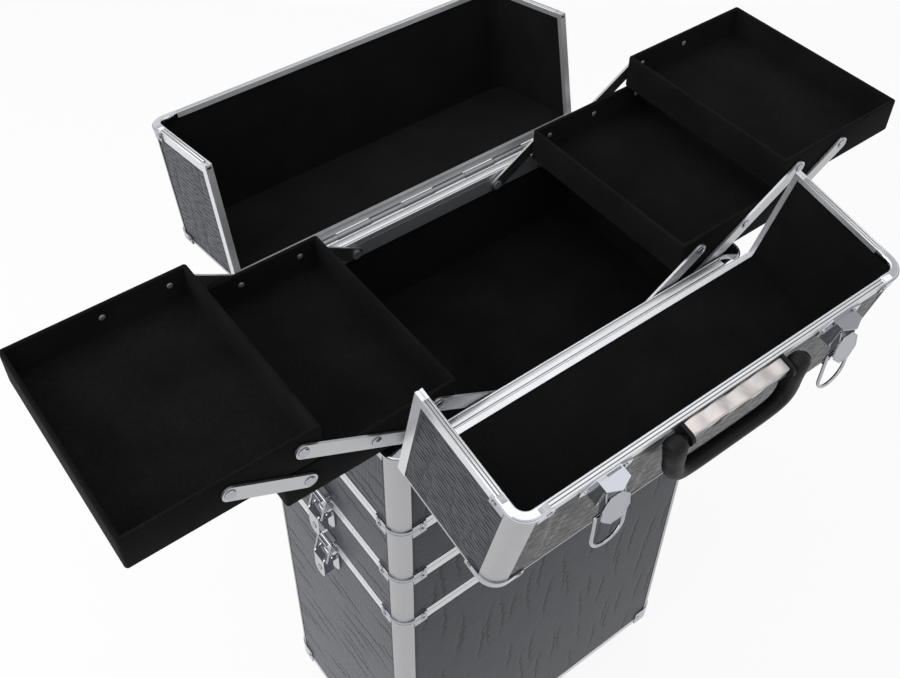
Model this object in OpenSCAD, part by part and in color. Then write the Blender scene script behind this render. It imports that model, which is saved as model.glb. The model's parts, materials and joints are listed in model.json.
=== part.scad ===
// Rolling make-up case, shown open. A large bottom box, two middle boxes and a top case
// stand on each other and are held by toggle latches on the short sides. The top case has
// two half lids that fold back to the front and the rear, and four trays that swing out
// to the sides on parallel arms. It rolls on two rear wheels and has a pull handle.
// X runs along the case, the front faces -Y, and the floor is at Z = 0.

/* [Case] */
// Length of the case along its long side
case_l = 360; // [340:1:420]
// Depth of the case from front to rear
case_w = 216; // [200:1:260]
// Height of the bottom box
trunk_h = 366; // [320:1:420]
// Height of each middle box
box_h = 70; // [66:1:100]
// Height of the top case up to its hinge line
top_h = 98; // [90:1:130]
// Height of the half lids
lid_h = 107; // [100:1:130]
// Angle that the half lids stand open
lid_open = 102; // [96:1:108]
// Gap between the closed lids along their seam
lid_seam = 0.6; // [0.4:0.1:1.5]
// Height of the bottom box's underside above the floor
ground_gap = 43; // [43:1:60]

/* [Walls and frame] */
// Thickness of the wall and floor boards
board = 6; // [4:0.5:8]
// Thickness of the flocked lining
lining = 2; // [1:0.5:3]
// Thickness of the half lids' boards
lid_board = 3; // [2.5:0.5:4]
// Thickness of the half lids' lining
lid_lining = 0.8; // [0.6:0.1:1.5]
// Depth that the boards lie behind the frame's outer face
recess = 1; // [0.8:0.1:1.5]
// Outer radius of the quarter-round corner posts
post_r = 14; // [13:0.5:15]
// Thickness of a post's curved skin
post_skin = 1.8; // [1.4:0.1:2.4]
// Thickness of the web that a board's end meets inside a post
post_web = 1.2; // [1:0.1:1.8]
// Height of a rim's outer flange
rim_h = 8; // [7:0.5:12]
// Height of the flange round the lower edge of each upper box
low_flange = 5.5; // [5:0.5:7]
// Height of a rim's inner flange
rim_lip = 4.5; // [3:0.5:6]
// Thickness of a rim's top web
rim_web = 2; // [1.6:0.1:2.6]
// Thickness of a rim's inner flange
rim_t = 1; // [0.8:0.1:1.5]
// Width of the groove along a rim's top
rim_groove = 1.6; // [1:0.1:2.5]
// Depth of the groove along a rim's top
rim_groove_deep = 0.8; // [0.4:0.1:1]
// Height of each upper box's boards above the box below
seam = 1.6; // [1.4:0.1:3]
// Leg length of the angle trim on the lids' other edges
trim_leg = 2.5; // [2:0.1:4]

/* [Corner caps] */
// Thickness of the stamped corner caps
cap_t = 1.2; // [0.8:0.1:1.6]
// Length of a cap's ears along the walls
cap_ear = 13; // [10:0.5:15]
// Height of the band that a cap shows round its post
cap_band = 2.6; // [2:0.1:4]
// Height of the caps on the bottom corners
base_cap_h = 20; // [16:1:26]
// Depth of the caps on the lids' outer corners
lid_cap_h = 6; // [5:0.5:10]
// Radius of the cap rivets
rivet_r = 2; // [1.5:0.1:2.5]
// Height of the cap rivets
rivet_h = 0.8; // [0.5:0.1:1.2]

/* [Trays] */
// Length of a tray along the case
tray_l = 144; // [130:1:150]
// Height of a tray
tray_h = 32; // [26:0.5:32.5]
// Thickness of the tray walls
tray_wall = 3.5; // [2.5:0.5:5]
// Thickness of the tray floors
tray_floor = 3; // [2:0.5:4]
// Distance of the folded trays from the middle of the case
tray_gap = 2.6; // [1:0.1:5]

/* [Tray arms] */
// Distance between the pivots along an arm
arm_len = 65; // [65:0.5:68]
// Angle of the swung-out arms above the horizontal
arm_angle = 31; // [31:0.5:33]
// Width of the flat arms
arm_w = 12; // [10:0.5:14]
// Thickness of the flat arms
arm_t = 2; // [1.5:0.1:2.5]
// Distance between neighbouring pivots on a tray or rail
pivot_pitch = 54; // [48:1:58]
// Distance of the first tray pivot from the tray's inner end
pivot_inset = 18; // [14:1:22]
// Depth of the tray pivots below the tray's edge
pivot_drop = 12; // [10:0.5:13]
// Height of the steel rails that carry the arms
rail_h = 14; // [12:0.5:16]
// Thickness of the rails
rail_t = 1.5; // [1.2:0.1:2]
// Distance of a rail's ends from the outermost pivots
rail_end = 22; // [12:1:26]
// Radius of the pivot rivets
pin_r = 2.5; // [2:0.1:3]
// Radius of the pivot rivets' heads
pin_head_r = 4.2; // [3.8:0.1:5]
// Thickness of the pivot rivets' heads
pin_head_t = 1; // [0.8:0.1:1.2]
// Thickness of the spacers between trays and arms
spacer_t = 0.7; // [0.5:0.1:1]

/* [Lid hinges] */
// Radius of the hinge knuckles
knuckle_r = 2.5; // [2:0.1:3]
// Distance of the hinge axis from the frame's outer face
hinge_off = 3.8; // [3.5:0.1:5]
// Radius of the hinge pin
hinge_pin_r = 1.2; // [1:0.1:1.5]
// Thickness of the hinge leaves
leaf_t = 1; // [0.8:0.1:1.2]
// Number of knuckles along a hinge
knuckles = 9; // [5:2:15]

/* [Carry handle] */
// Distance of the carry handle's pivots from the lid's seam
handle_y = 8.5; // [8.5:0.5:12]
// Length of the handle's base
handle_plate_l = 92; // [80:1:100]
// Width of the handle's base
handle_plate_w = 11; // [9:0.5:12]
// Height of the handle's base above the frame
handle_plate_h = 12; // [10:0.5:13]
// Bevel along the handle base's outer edges
plate_bevel = 1; // [0.5:0.1:2]
// Length of the slot in the handle's base
slot_l = 46; // [30:1:60]
// Width of the slot in the handle's base
slot_w = 3; // [2:0.5:4]
// Depth of the slot in the handle's base
slot_deep = 5; // [2:0.5:6]
// Length of each pivot bracket along the handle
bracket_l = 3; // [2.5:0.5:6]
// Radius of a bracket's rounded top
bracket_r = 6; // [5:0.5:7]
// Height of the handle's pivots above the frame
handle_pivot_h = 9; // [9:0.5:11]
// Radius of the handle's pivot pins
handle_pin_r = 3; // [2.5:0.1:3.5]
// Radius of the heads on the handle's pivot pins
handle_head_r = 4.5; // [4:0.1:5]
// Radius of the grip bar
grip_r = 8; // [7.5:0.1:8.2]
// Radius of the grip's legs
leg_r = 7.2; // [6:0.1:7.3]
// Length of the grip's pivot bosses
boss_l = 15; // [15:0.5:17]
// Distance of the grip bar from the pivots
grip_drop = 36; // [32:1:42]
// Bend radius between the legs and the grip bar
grip_bend = 14; // [12:0.5:16]
// Angle between the hanging grip and the lid's wall
grip_tilt = 12; // [6:1:18]

/* [Top latches] */
// Distance of each top latch from the middle of the case
top_latch_x = 110; // [100:1:118]
// Width of a top latch's base over its wings
top_base_w = 44; // [38:1:50]
// Length of a top latch's base
top_base_l = 16; // [14:1:18]
// Length of the ends of a top latch's wings
wing_end = 6; // [4:0.5:8]
// Length of a top latch's cheeks
cheek_l = 23; // [20:0.5:24]
// Height of a top latch's cheeks
cheek_h = 8.6; // [8.4:0.1:8.8]
// Height of the sides of a top latch's end plate
end_side_h = 10; // [9:0.5:12]
// Height of the peak of a top latch's end plate
end_peak_h = 14.5; // [12:0.5:16]
// Height of the slot under a top latch's end plate
end_slot_h = 3; // [2:0.5:4]
// Thickness of the latch plates
latch_t = 1.2; // [1:0.1:1.6]
// Height of a top latch's lever pivot above the frame
top_pivot_h = 6; // [5.9:0.1:6.2]
// Distance of a top latch's lever pivot from the seam
top_pivot_y = 9; // [8.5:0.5:10]
// Distance of the latch plates' edges from the seam
latch_edge = 2; // [1.5:0.5:3]
// Distance of a top latch's ears from the lever plate's edge
ear_in = 3; // [2.5:0.5:4]
// Radius of the ears round a top latch's pivot
top_ear_r = 3.4; // [3:0.1:3.8]
// Radius of a top latch's lever pivot
top_pin_r = 1.6; // [1.4:0.1:1.8]
// Width across the flats of the eight-sided lever plate
octagon_w = 24; // [20:1:26]
// Distance of the lever plate's centre from its pivot
octagon_out = 18.5; // [18:0.5:20]
// Height of the lever plate above the lever's pivots
octagon_up = 3.2; // [3:0.1:4]
// Angle between the loose lever and the lid's wall
lever_tilt = 20; // [18:1:30]
// Distance of the bail's pivot from the lever's pivot
bail_out = 22; // [21:0.5:24]
// Depth of the lever's ribs below its pivots
lever_rib = 2; // [1.5:0.1:2.4]
// Width of the keepers that the bails draw against
keeper_w = 20; // [16:1:22]
// Length of the keeper's hook over a bail
top_hook = 3; // [2:0.5:4]
// Radius of the bail's wire
bail_r = 1.3; // [1.1:0.1:1.5]
// Length of the bail's straight legs
bail_leg = 26; // [25:0.5:30]

/* [Side latches] */
// Width of a side latch's base plate
side_base_w = 24; // [22:1:30]
// Height of a side latch's base plate
side_base_h = 40; // [38:1:46]
// Distance of the lever's pivot below the seam
side_pivot_drop = 13; // [12.5:0.5:15]
// Distance of the lever's pivot from the frame's outer face
side_pivot_out = 5; // [4.8:0.1:6]
// Radius of the lever's pivot pin
side_pin_r = 1.5; // [1.3:0.1:1.7]
// Distance of the loop's pivot from the lever's pivot
side_throw = 7; // [6.5:0.1:8]
// Width of the lever between its cheeks
side_lever_w = 16; // [14:0.5:18]
// Length of the lever's flanges below its pivot
side_lever_l = 20; // [16:1:22]
// Radius of the lever's cheeks round its pivots
lever_r = 2.8; // [2.6:0.1:3]
// Radius of the lock's barrel in the lever's face
lock_r = 3; // [2.5:0.1:3.5]
// Height of the lock's barrel off the lever's face
lock_h = 0.6; // [0.4:0.1:1]
// Width of the lock's key slot
lock_slot = 1; // [0.8:0.1:1.2]
// Radius of the base's cheeks round the lever's pivot
side_ear_r = 3.2; // [3:0.1:3.5]
// Radius of the loop's wire
loop_r = 1.2; // [1:0.1:1.4]
// Distance of the loop's bar from the frame's outer face
loop_bar_out = 6; // [5.5:0.1:6.5]
// Height of the loop's bar above the seam
loop_bar_up = 10; // [9.5:0.5:12]
// Width of the keeper's plate
side_keeper_w = 19; // [16:0.5:22]
// Height of the keeper's plate
side_keeper_h = 12; // [11:0.5:14]
// Height of the keeper's plate above the seam
side_keeper_up = 3; // [3:0.1:4]
// Width of the keeper's hook
hook_w = 12; // [10:0.5:14]
// Thickness of the keeper's hook
hook_t = 1.4; // [1.2:0.1:1.6]

/* [Wheels and feet] */
// Distance of the wheels and feet from the middle of the case
wheel_x = 135; // [120:1:140]
// Distance of the wheels' and feet's centres from the case's middle line
wheel_y = 72; // [60:1:76]
// Radius of the wheels
wheel_r = 20; // [17:0.5:20]
// Width of the wheels
wheel_w = 15; // [12:0.5:18]
// Radius of the wheels' rounded edge
wheel_edge = 3; // [2:0.5:4]
// Radius of the wheels' axles
axle_r = 4; // [3:0.5:5]
// Width of the metal round the axle in a fork
axle_boss = 4; // [3:0.5:5]
// Radius of the wheels' hubs
wheel_hub = 8; // [7.5:0.5:9]
// Thickness of the wheels' treads
wheel_tread = 5; // [3.5:0.5:6]
// Depth of the hollow between hub and tread
wheel_dish = 1.5; // [1:0.1:3]
// Thickness of the wheel forks
fork_t = 2.5; // [2:0.5:3]
// Width of the wheel forks
fork_w = 30; // [26:1:34]
// Radius of the feet at the floor
foot_r = 13; // [10:0.5:16]
// Height of the chamfer round the feet's underside
foot_chamfer = 2; // [1:0.5:3]
// Widening of the feet towards their upper plate
foot_taper = 1; // [0.5:0.5:2]
// Radius of the feet's upper plate
foot_top_r = 18; // [16:0.5:20]
// Thickness of the feet's upper plate
foot_plate = 4; // [3:0.5:6]

/* [Pull handle] */
// Distance of the pull handle's tubes from the middle of the case
tube_x = 70; // [60:1:90]
// Outer radius of the sliding tubes
tube_r = 7; // [6:0.5:8]
// Wall of the sliding tubes and their sleeves
tube_wall = 1.2; // [1:0.1:1.5]
// Distance of the tubes' axes from the frame's outer face
tube_off = 12; // [12:0.5:15]
// Height of the sleeves' lower ends above the bottom box's underside
sleeve_low = 30; // [20:1:60]
// Distance of the sleeves' upper ends below the bottom box's rim
sleeve_down = 2; // [1:0.5:6]
// Thickness of the sleeves' closed lower ends
sleeve_end = 3; // [2:0.5:5]
// Wall of the sleeve clamps
clamp_t = 2; // [1.5:0.5:2.5]
// Distance of the clamps from the sleeves' ends
clamp_in = 10; // [4:1:30]
// Height of the sleeve clamps
clamp_h = 24; // [18:1:30]
// Height of the pull grip's axis above the bottom box
pull_up = 28; // [24:1:40]
// Radius of the pull grip
pull_r = 9; // [8.5:0.5:10]

/* [Clearances] */
// Gap between pieces that move past each other
run_gap = 0.4; // [0.3:0.05:0.6]
// Radial play of pins in their bores
pin_gap = 0.05; // [0.03:0.01:0.08]
// Radial play of the sliding tubes in their sleeves
slide_gap = 0.3; // [0.2:0.05:0.4]
// Glue gap between neighbouring boards
glue_gap = 0.1; // [0.05:0.05:0.2]
// Gap under a rim's inner flange
rail_gap = 0.5; // [0.3:0.1:1]
// Play between a corner cap's curve and the post
cap_gap = 0.05; // [0.02:0.01:0.1]

/* [Hidden] */
$fn = 48;
half_l = case_l / 2;
half_w = case_w / 2;
z_base = ground_gap;
z_box1 = z_base + trunk_h;
z_box2 = z_box1 + box_h;
z_case = z_box2 + box_h;
z_rim = z_case + top_h;
z_lid = z_rim + lid_h;
seams = [z_box1, z_box2, z_case];
// Half sizes of the space inside the boards, and inside the lining
in_l = half_l - recess - board;
in_w = half_w - recess - board;
clear_l = in_l - lining;
clear_w = in_w - lining;
rim_w = recess + board + lining + rim_t;
// Width of an upper box's bottom angle round the posts, clear of the floor's corners
low_corner_w = post_r - sqrt(2) * (post_r - recess - board);
// The half sizes and the rim of the half lids, which have thinner walls
lid_in_l = half_l - recess - lid_board;
lid_in_w = half_w - recess - lid_board;
lid_clear_l = lid_in_l - lid_lining;
lid_clear_w = lid_in_w - lid_lining;
lid_rim_w = recess + lid_board + lid_lining + rim_t;
lid_in_r = post_r - recess - lid_board;
seam_y = lid_seam / 2;
hinge_y = half_w + hinge_off;
hinge_l = case_l - 2 * (post_r + cap_ear + rivet_h);
knuckle_l = hinge_l / knuckles;
// Tray linkage: the arms lean out at rest and lean in by the same angle when folded
arm_run = arm_len * cos(arm_angle);
arm_rise = arm_len * sin(arm_angle);
rail_top = z_rim - rim_lip - rail_gap;
rail_z = rail_top - rail_h / 2;
arm_out = clear_w - rail_t - run_gap;
arm_in = arm_out - arm_t;
tray_w = 2 * (arm_in - run_gap - spacer_t);
lower_in = tray_gap + 2 * arm_run;
upper_in = lower_in + 2 * arm_run;
lower_x = [for (i = [0:2]) lower_in + pivot_inset + i * pivot_pitch];
upper_x = [for (i = [1:2]) lower_x[i] + arm_run];
rail_x = [for (i = [0:1]) lower_x[i] - arm_run];
lower_z = rail_z + arm_rise;
upper_z = lower_z + arm_rise;
// Top latch: the ears of the base and lever, the bail's legs and the keeper's hook
base_ear_x = octagon_w / 2 - ear_in;
lever_ear_x = base_ear_x - run_gap - latch_t;
bail_x = octagon_w / 2 + run_gap + bail_r;
keeper_y = bail_leg + octagon_w / 2 + run_gap - top_pivot_y - bail_out;
// The loose bail hangs straight down
bail_hang = lever_tilt - (lid_open - 90);
// Side latch: the loop's pivot, and its bar behind the keeper's lip
loop_x = side_lever_w / 2 + run_gap + loop_r;
loop_rise = side_pivot_drop + loop_bar_up;
loop_lean = side_pivot_out + side_throw - loop_bar_out;

croc = [0.29, 0.29, 0.31];
flock = [0.06, 0.06, 0.06];
alu = [0.66, 0.66, 0.67];
bright = [0.82, 0.82, 0.84];
chrome = [0.78, 0.79, 0.82];
steel = [0.35, 0.36, 0.38];
black = [0.1, 0.1, 0.11];

// Placing helpers

// Repeats a piece of the right half on the left
module on_side(left) {
  mirror([left ? 1 : 0, 0, 0]) children();
}

module both_sides() {
  on_side(false) children();
  on_side(true) children();
}

module front_and_rear() {
  children();
  mirror([0, 1, 0]) children();
}

// Puts a piece at the arc centre of all four upright corners
module at_corners() {
  both_sides() front_and_rear() translate([half_l - post_r, half_w - post_r, 0]) children();
}

// Opens a piece of the closed front lid about its hinge
module open_lid() {
  translate([0, -hinge_y, z_rim]) rotate([lid_open, 0, 0]) translate([0, hinge_y, -z_rim]) children();
}

// Stands a drawing of the X-Z plane up, so that it grows towards -Y from y
module upright(y, depth) {
  translate([0, y, 0]) rotate([90, 0, 0]) linear_extrude(depth) children();
}

// Sweeps a profile round a rounded rectangle; the profile's outer face is at x = 0, and the
// second profile is for the corners
module swept_ring(l, w, r) {
  for (i = [0:3]) rotate([0, 0, 90 * i]) {
    out = (i % 2 == 0 ? l : w) / 2;
    run = (i % 2 == 0 ? w : l) - 2 * r;
    translate([out, run / 2, 0]) rotate([90, 0, 0]) linear_extrude(run) children(0);
    translate([out - r, run / 2, 0]) rotate_extrude(angle = 90) translate([r, 0]) children(1);
  }
}

// Sweeps a profile up one side, over a rounded top and down the other side
module swept_arch(l, h, r) {
  translate([-l / 2 + r, h, 0]) rotate([90, 0, 90]) linear_extrude(l - 2 * r) children(0);
  both_sides() {
    translate([l / 2, h - r, 0]) rotate([90, 0, 0]) linear_extrude(h - r) children(0);
    translate([l / 2 - r, h - r, 0]) rotate_extrude(angle = 90) translate([r, 0]) children(1);
  }
}

// Profiles

// Channel of width w that caps a wall, with a groove along its top; it has no outer flange
// where it rounds a post
module rim_profile(w, flange) {
  difference() {
    translate([-w, -rim_web]) square([w, rim_web]);
    translate([-w / 2 - rim_groove / 2, -rim_groove_deep]) square([rim_groove, 2 * rim_groove_deep]);
  }
  if (flange) translate([-recess, -rim_h]) square([recess, rim_h - rim_web / 2]);
  translate([-w, -rim_lip]) square([rim_t, rim_lip - rim_web / 2]);
}

// Angle of width w and height h round the lower edge of a box
module foot_profile(w, h) {
  translate([-recess, 0]) square([recess, h]);
  translate([-w, 0]) square([w, recess]);
}

// Quarter-round post with a web at each board's end; the arc's centre is the origin
module post_profile(wall) {
  intersection() {
    difference() {
      circle(post_r);
      circle(post_r - post_skin);
    }
    square(post_r);
  }
  for (flip = [0, 1]) mirror([flip, -flip]) translate([post_r - recess - wall, 0])
    square([wall + recess - post_skin / 2, post_web]);
}

// Band of a stamped cap round a post
module cap_band_profile() {
  intersection() {
    difference() {
      circle(post_r + cap_t);
      circle(post_r + cap_gap);
    }
    square(post_r + cap_t);
  }
}

// The same cap's ears along the walls
module cap_ear_profile() {
  for (flip = [0, 1]) mirror([flip, -flip]) translate([post_r, -cap_ear]) square([cap_t, cap_ear]);
}

// The same cap's closed end
module cap_end_profile() {
  intersection() {
    circle(post_r + cap_t);
    square(post_r + cap_t);
  }
  for (flip = [0, 1]) mirror([flip, -flip]) translate([0, -cap_ear]) square([post_r + cap_t, cap_ear]);
}

// Cap with ears of height h and a band from low to high
module corner_cap(h, low, high) {
  linear_extrude(h) cap_ear_profile();
  translate([0, 0, low]) linear_extrude(high - low) cap_band_profile();
  for (flip = [0, 1]) mirror([flip, -flip, 0])
    translate([post_r + cap_t / 2, -cap_ear + 2 * rivet_r, h / 2]) rotate([0, 90, 0])
      cylinder(r = rivet_r, h = cap_t / 2 + rivet_h);
}

// Flat bar from one pivot to another, with a bore at each place in the list
module arm_profile(length, bores) {
  difference() {
    union() {
      translate([0, -arm_w / 2]) square([length, arm_w]);
      circle(arm_w / 2);
      translate([length, 0]) circle(arm_w / 2);
    }
    for (b = bores) translate([b, 0]) circle(pin_r + pin_gap);
  }
}

// Boxes

module wall_boards(z0, z1) {
  both_sides() translate([in_l, -half_w + post_r, z0]) cube([board, case_w - 2 * post_r, z1 - z0]);
  front_and_rear() translate([-half_l + post_r, in_w, z0]) cube([case_l - 2 * post_r, board, z1 - z0]);
}

module floor_board(z0) {
  translate([-in_l + glue_gap, -in_w + glue_gap, z0])
    cube([2 * (in_l - glue_gap), 2 * (in_w - glue_gap), board]);
}

module trunk_boards() {
  color(croc) {
    wall_boards(z_base + recess, z_box1 - rim_web);
    floor_board(z_base + recess);
  }
}

module middle_box_boards() {
  color(croc) for (z = [z_box1, z_box2]) {
    wall_boards(z + seam, z + box_h - rim_web);
    floor_board(z);
  }
}

module top_case_boards() {
  color(croc) {
    wall_boards(z_case + seam, z_rim - rim_web);
    floor_board(z_case);
  }
}

module top_case_lining() {
  low = z_case + board;
  high = z_rim - rim_web;
  color(flock) difference() {
    translate([-in_l, -in_w, low]) cube([2 * in_l, 2 * in_w, high - low]);
    translate([-clear_l, -clear_w, low + lining]) cube([2 * clear_l, 2 * clear_w, high - low]);
  }
}

module corner_posts() {
  spans = [
    [z_base + recess, z_box1 - rim_web],
    [z_box1 + seam, z_box2 - rim_web],
    [z_box2 + seam, z_case - rim_web],
    [z_case + seam, z_rim - rim_web]
  ];
  color(alu) at_corners() for (s = spans) translate([0, 0, s[0]]) linear_extrude(s[1] - s[0])
    post_profile(board);
}

module edge_rims() {
  color(bright) {
    for (z = concat(seams, z_rim)) translate([0, 0, z]) swept_ring(case_l, case_w, post_r) {
      rim_profile(rim_w, true);
      rim_profile(rim_w, false);
    }
    for (z = seams) translate([0, 0, z + seam - recess]) swept_ring(case_l, case_w, post_r) {
      foot_profile(recess + board, low_flange);
      foot_profile(low_corner_w, recess);
    }
    translate([0, 0, z_base]) swept_ring(case_l, case_w, post_r) {
      foot_profile(rim_w, rim_h);
      foot_profile(rim_w, recess);
    }
  }
}

module corner_caps() {
  color(chrome) at_corners() {
    for (z = concat(seams, z_rim)) translate([0, 0, z - rim_h]) corner_cap(rim_h, rim_h - cap_band, rim_h);
    for (z = seams) translate([0, 0, z + seam - recess]) corner_cap(low_flange, 0, cap_band);
    translate([0, 0, z_base]) corner_cap(base_cap_h, 0, base_cap_h);
    translate([0, 0, z_base - cap_t]) linear_extrude(cap_t) cap_end_profile();
  }
}

// Half lids, drawn closed at the front

module lid_boards() {
  color(croc) open_lid() {
    // Outer wall, notched at the top for the posts' ends
    upright(-lid_in_w, lid_board) {
      translate([-half_l + recess, z_rim + rim_web])
        square([case_l - 2 * recess, lid_h - rim_web - post_r]);
      translate([-half_l + post_r, z_lid - 2 * post_r]) square([case_l - 2 * post_r, 2 * post_r - recess]);
    }
    // Top wall
    translate([-half_l + post_r, -lid_in_w + glue_gap, z_lid - recess - lid_board])
      cube([case_l - 2 * post_r, lid_in_w - glue_gap - seam_y - rim_web, lid_board]);
    // End walls
    both_sides() translate([lid_in_l, -lid_in_w + glue_gap, z_rim + rim_web])
      cube([lid_board, lid_in_w - glue_gap - seam_y - rim_web, lid_h - rim_web - post_r]);
  }
}

// Outline of a lid's inside, rounded beside the posts
module lid_inside(half, low, top, r) {
  translate([-half, low]) square([2 * half, top - r - low]);
  translate([-half + r, low]) square([2 * (half - r), top - low]);
  for (side = [-1, 1]) translate([side * (half - r), top - r]) circle(r);
}

module lid_lining() {
  low = z_rim + rim_web;
  top = z_lid - recess - lid_board;
  edge = -seam_y - rim_web;
  color(flock) open_lid() difference() {
    upright(edge, lid_in_w + edge) lid_inside(lid_in_l, low, top, lid_in_r);
    upright(edge + lid_lining, lid_clear_w + edge + lid_lining)
      lid_inside(lid_clear_l, low - lid_lining, top - lid_lining, lid_in_r - lid_lining);
  }
}

module lid_frame() {
  color(alu) open_lid() both_sides() {
    // Quarter-round post between the end wall and the top wall
    translate([half_l - post_r, 0, z_lid - post_r]) upright(-seam_y - rim_web, half_w - seam_y - rim_web)
      post_profile(lid_board);
    // Angle on the edge between the end wall and the outer wall
    translate([half_l, -half_w, z_rim + rim_h]) linear_extrude(lid_h - rim_h - post_r - glue_gap)
      mirror([1, 0]) trim_profile();
  }
  // Angle on the edge between the top wall and the outer wall
  trim_l = case_l - 2 * (post_r + glue_gap);
  color(alu) open_lid() translate([-trim_l / 2, -half_w, z_lid]) rotate([0, 90, 0])
    linear_extrude(trim_l) trim_profile();
}

module trim_profile() {
  square([trim_leg, recess]);
  square([recess, trim_leg]);
}

module lid_rim() {
  color(bright) open_lid() {
    // Along the seam with the other lid
    translate([0, -seam_y, z_rim]) mirror([0, 1, 0]) rotate([90, 0, 0])
      swept_arch(case_l, lid_h, post_r) {
        rim_profile(lid_rim_w, true);
        rim_profile(lid_rim_w, false);
      }
    // Along the hinge and the lower edges of the end walls
    translate([-half_l, -half_w, z_rim]) cube([case_l, lid_rim_w, rim_web]);
    translate([-half_l, -half_w, z_rim]) cube([case_l, recess, rim_h]);
    translate([-half_l + lid_rim_w, -lid_clear_w, z_rim]) cube([case_l - 2 * lid_rim_w, rim_t, rim_lip]);
    both_sides() {
      run = half_w - seam_y - rim_h / 2;
      translate([half_l - lid_rim_w, -half_w, z_rim]) cube([lid_rim_w, run, rim_web]);
      translate([half_l - recess, -half_w, z_rim]) cube([recess, run, rim_h]);
      translate([half_l - lid_rim_w, -lid_clear_w, z_rim])
        cube([rim_t, lid_clear_w - seam_y - rim_lip, rim_lip]);
    }
  }
}

// Caps on the posts' ends
module lid_caps() {
  both_sides() {
    translate([half_l - post_r, -seam_y - recess, z_lid - post_r]) rotate([90, 0, 0])
      corner_cap(rim_h, 0, cap_band);
    translate([half_l - post_r, -half_w + lid_cap_h, z_lid - post_r]) rotate([90, 0, 0]) {
      corner_cap(lid_cap_h, 0, lid_cap_h);
      translate([0, 0, lid_cap_h]) linear_extrude(cap_t) cap_end_profile();
    }
  }
}

module front_lid_fittings() {
  color(chrome) open_lid() {
    lid_caps();
    both_sides() translate([top_latch_x, 0, z_lid]) top_latch_base();
  }
}

module rear_lid_fittings() {
  color(chrome) mirror([0, 1, 0]) open_lid() {
    lid_caps();
    both_sides() translate([top_latch_x, 0, z_lid]) top_keeper();
  }
}

// Hinges

module knuckle_row(first) {
  for (i = [first:2:knuckles - 1])
    translate([-hinge_l / 2 + i * knuckle_l + run_gap / 2, -hinge_y, z_rim]) rotate([0, 90, 0])
      cylinder(r = knuckle_r, h = knuckle_l - run_gap);
}

// Strip that joins each knuckle to its leaf, below or above the axis
module knuckle_webs(first, up) {
  low = up ? leaf_t : -knuckle_r;
  for (i = [first:2:knuckles - 1])
    translate([-hinge_l / 2 + i * knuckle_l + run_gap / 2, -hinge_y, z_rim + low])
      cube([knuckle_l - run_gap, hinge_off, knuckle_r - leaf_t]);
}

module fixed_leaf() {
  top = knuckle_r - leaf_t;
  translate([-hinge_l / 2, -half_w - leaf_t, z_rim - rim_h]) cube([hinge_l, leaf_t, rim_h - top]);
  knuckle_webs(0, false);
  knuckle_row(0);
  translate([-hinge_l / 2, -hinge_y, z_rim]) rotate([0, 90, 0]) cylinder(r = hinge_pin_r, h = hinge_l);
}

module hinge_leaves() {
  color(steel) front_and_rear() fixed_leaf();
}

module lid_leaf() {
  low = knuckle_r - leaf_t;
  color(steel) open_lid() {
    difference() {
      union() {
        translate([-hinge_l / 2, -half_w - leaf_t, z_rim + low]) cube([hinge_l, leaf_t, rim_h - low]);
        knuckle_webs(1, true);
        knuckle_row(1);
      }
      translate([-hinge_l / 2, -hinge_y, z_rim]) rotate([0, 90, 0])
        cylinder(r = hinge_pin_r + pin_gap, h = hinge_l);
    }
  }
}

// Carry handle on the front lid

module handle_place() {
  open_lid() translate([0, -handle_y, z_lid]) children();
}

// Block with bevelled outer edges and a slot along its front
module handle_plate() {
  half = handle_plate_w / 2;
  top = handle_plate_h;
  color(bright) handle_place() difference() {
    translate([-handle_plate_l / 2, 0, 0]) rotate([90, 0, 90]) linear_extrude(handle_plate_l)
      polygon([
        [-half, 0], [half, 0], [half, top - plate_bevel], [half - plate_bevel, top],
        [-half + plate_bevel, top], [-half, top - plate_bevel]
      ]);
    translate([-slot_l / 2, -slot_w / 2, top - slot_deep]) cube([slot_l, slot_w, 2 * slot_deep]);
  }
}

module handle_brackets() {
  pin_l = boss_l + 2 * run_gap;
  color(black) handle_place() both_sides()
    translate([handle_plate_l / 2, 0, handle_pivot_h]) rotate([90, 0, 90]) {
      linear_extrude(bracket_l) {
        circle(bracket_r);
        translate([-bracket_r, -handle_pivot_h]) square([2 * bracket_r, handle_pivot_h]);
      }
      cylinder(r = handle_pin_r, h = bracket_l + pin_l + pin_head_t);
      translate([0, 0, bracket_l + pin_l]) cylinder(r = handle_head_r, h = pin_head_t);
    }
}

// U-shaped grip: a boss on each pivot, two legs, two bends and the bar between them
module carry_grip() {
  leg_x = handle_plate_l / 2 + bracket_l + run_gap + boss_l / 2;
  color(black) handle_place() translate([0, 0, handle_pivot_h]) rotate([-grip_tilt, 0, 0]) {
    both_sides() {
      difference() {
        union() {
          translate([leg_x - boss_l / 2, 0, 0]) rotate([0, 90, 0]) cylinder(r = grip_r, h = boss_l);
          translate([leg_x, 0, 0]) rotate([90, 0, 0]) cylinder(r = leg_r, h = grip_drop - grip_bend);
        }
        translate([leg_x - boss_l, 0, 0]) rotate([0, 90, 0])
          cylinder(r = handle_pin_r + pin_gap, h = 2 * boss_l);
      }
      translate([leg_x - grip_bend, -grip_drop + grip_bend, 0]) rotate([0, 0, -90])
        rotate_extrude(angle = 90) translate([grip_bend, 0]) circle(leg_r);
    }
    translate([-leg_x + grip_bend, -grip_drop, 0]) rotate([0, 90, 0])
      cylinder(r = grip_r, h = 2 * (leg_x - grip_bend));
  }
}

// Top latches: origin on the seam, at the frame's outer face

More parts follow.
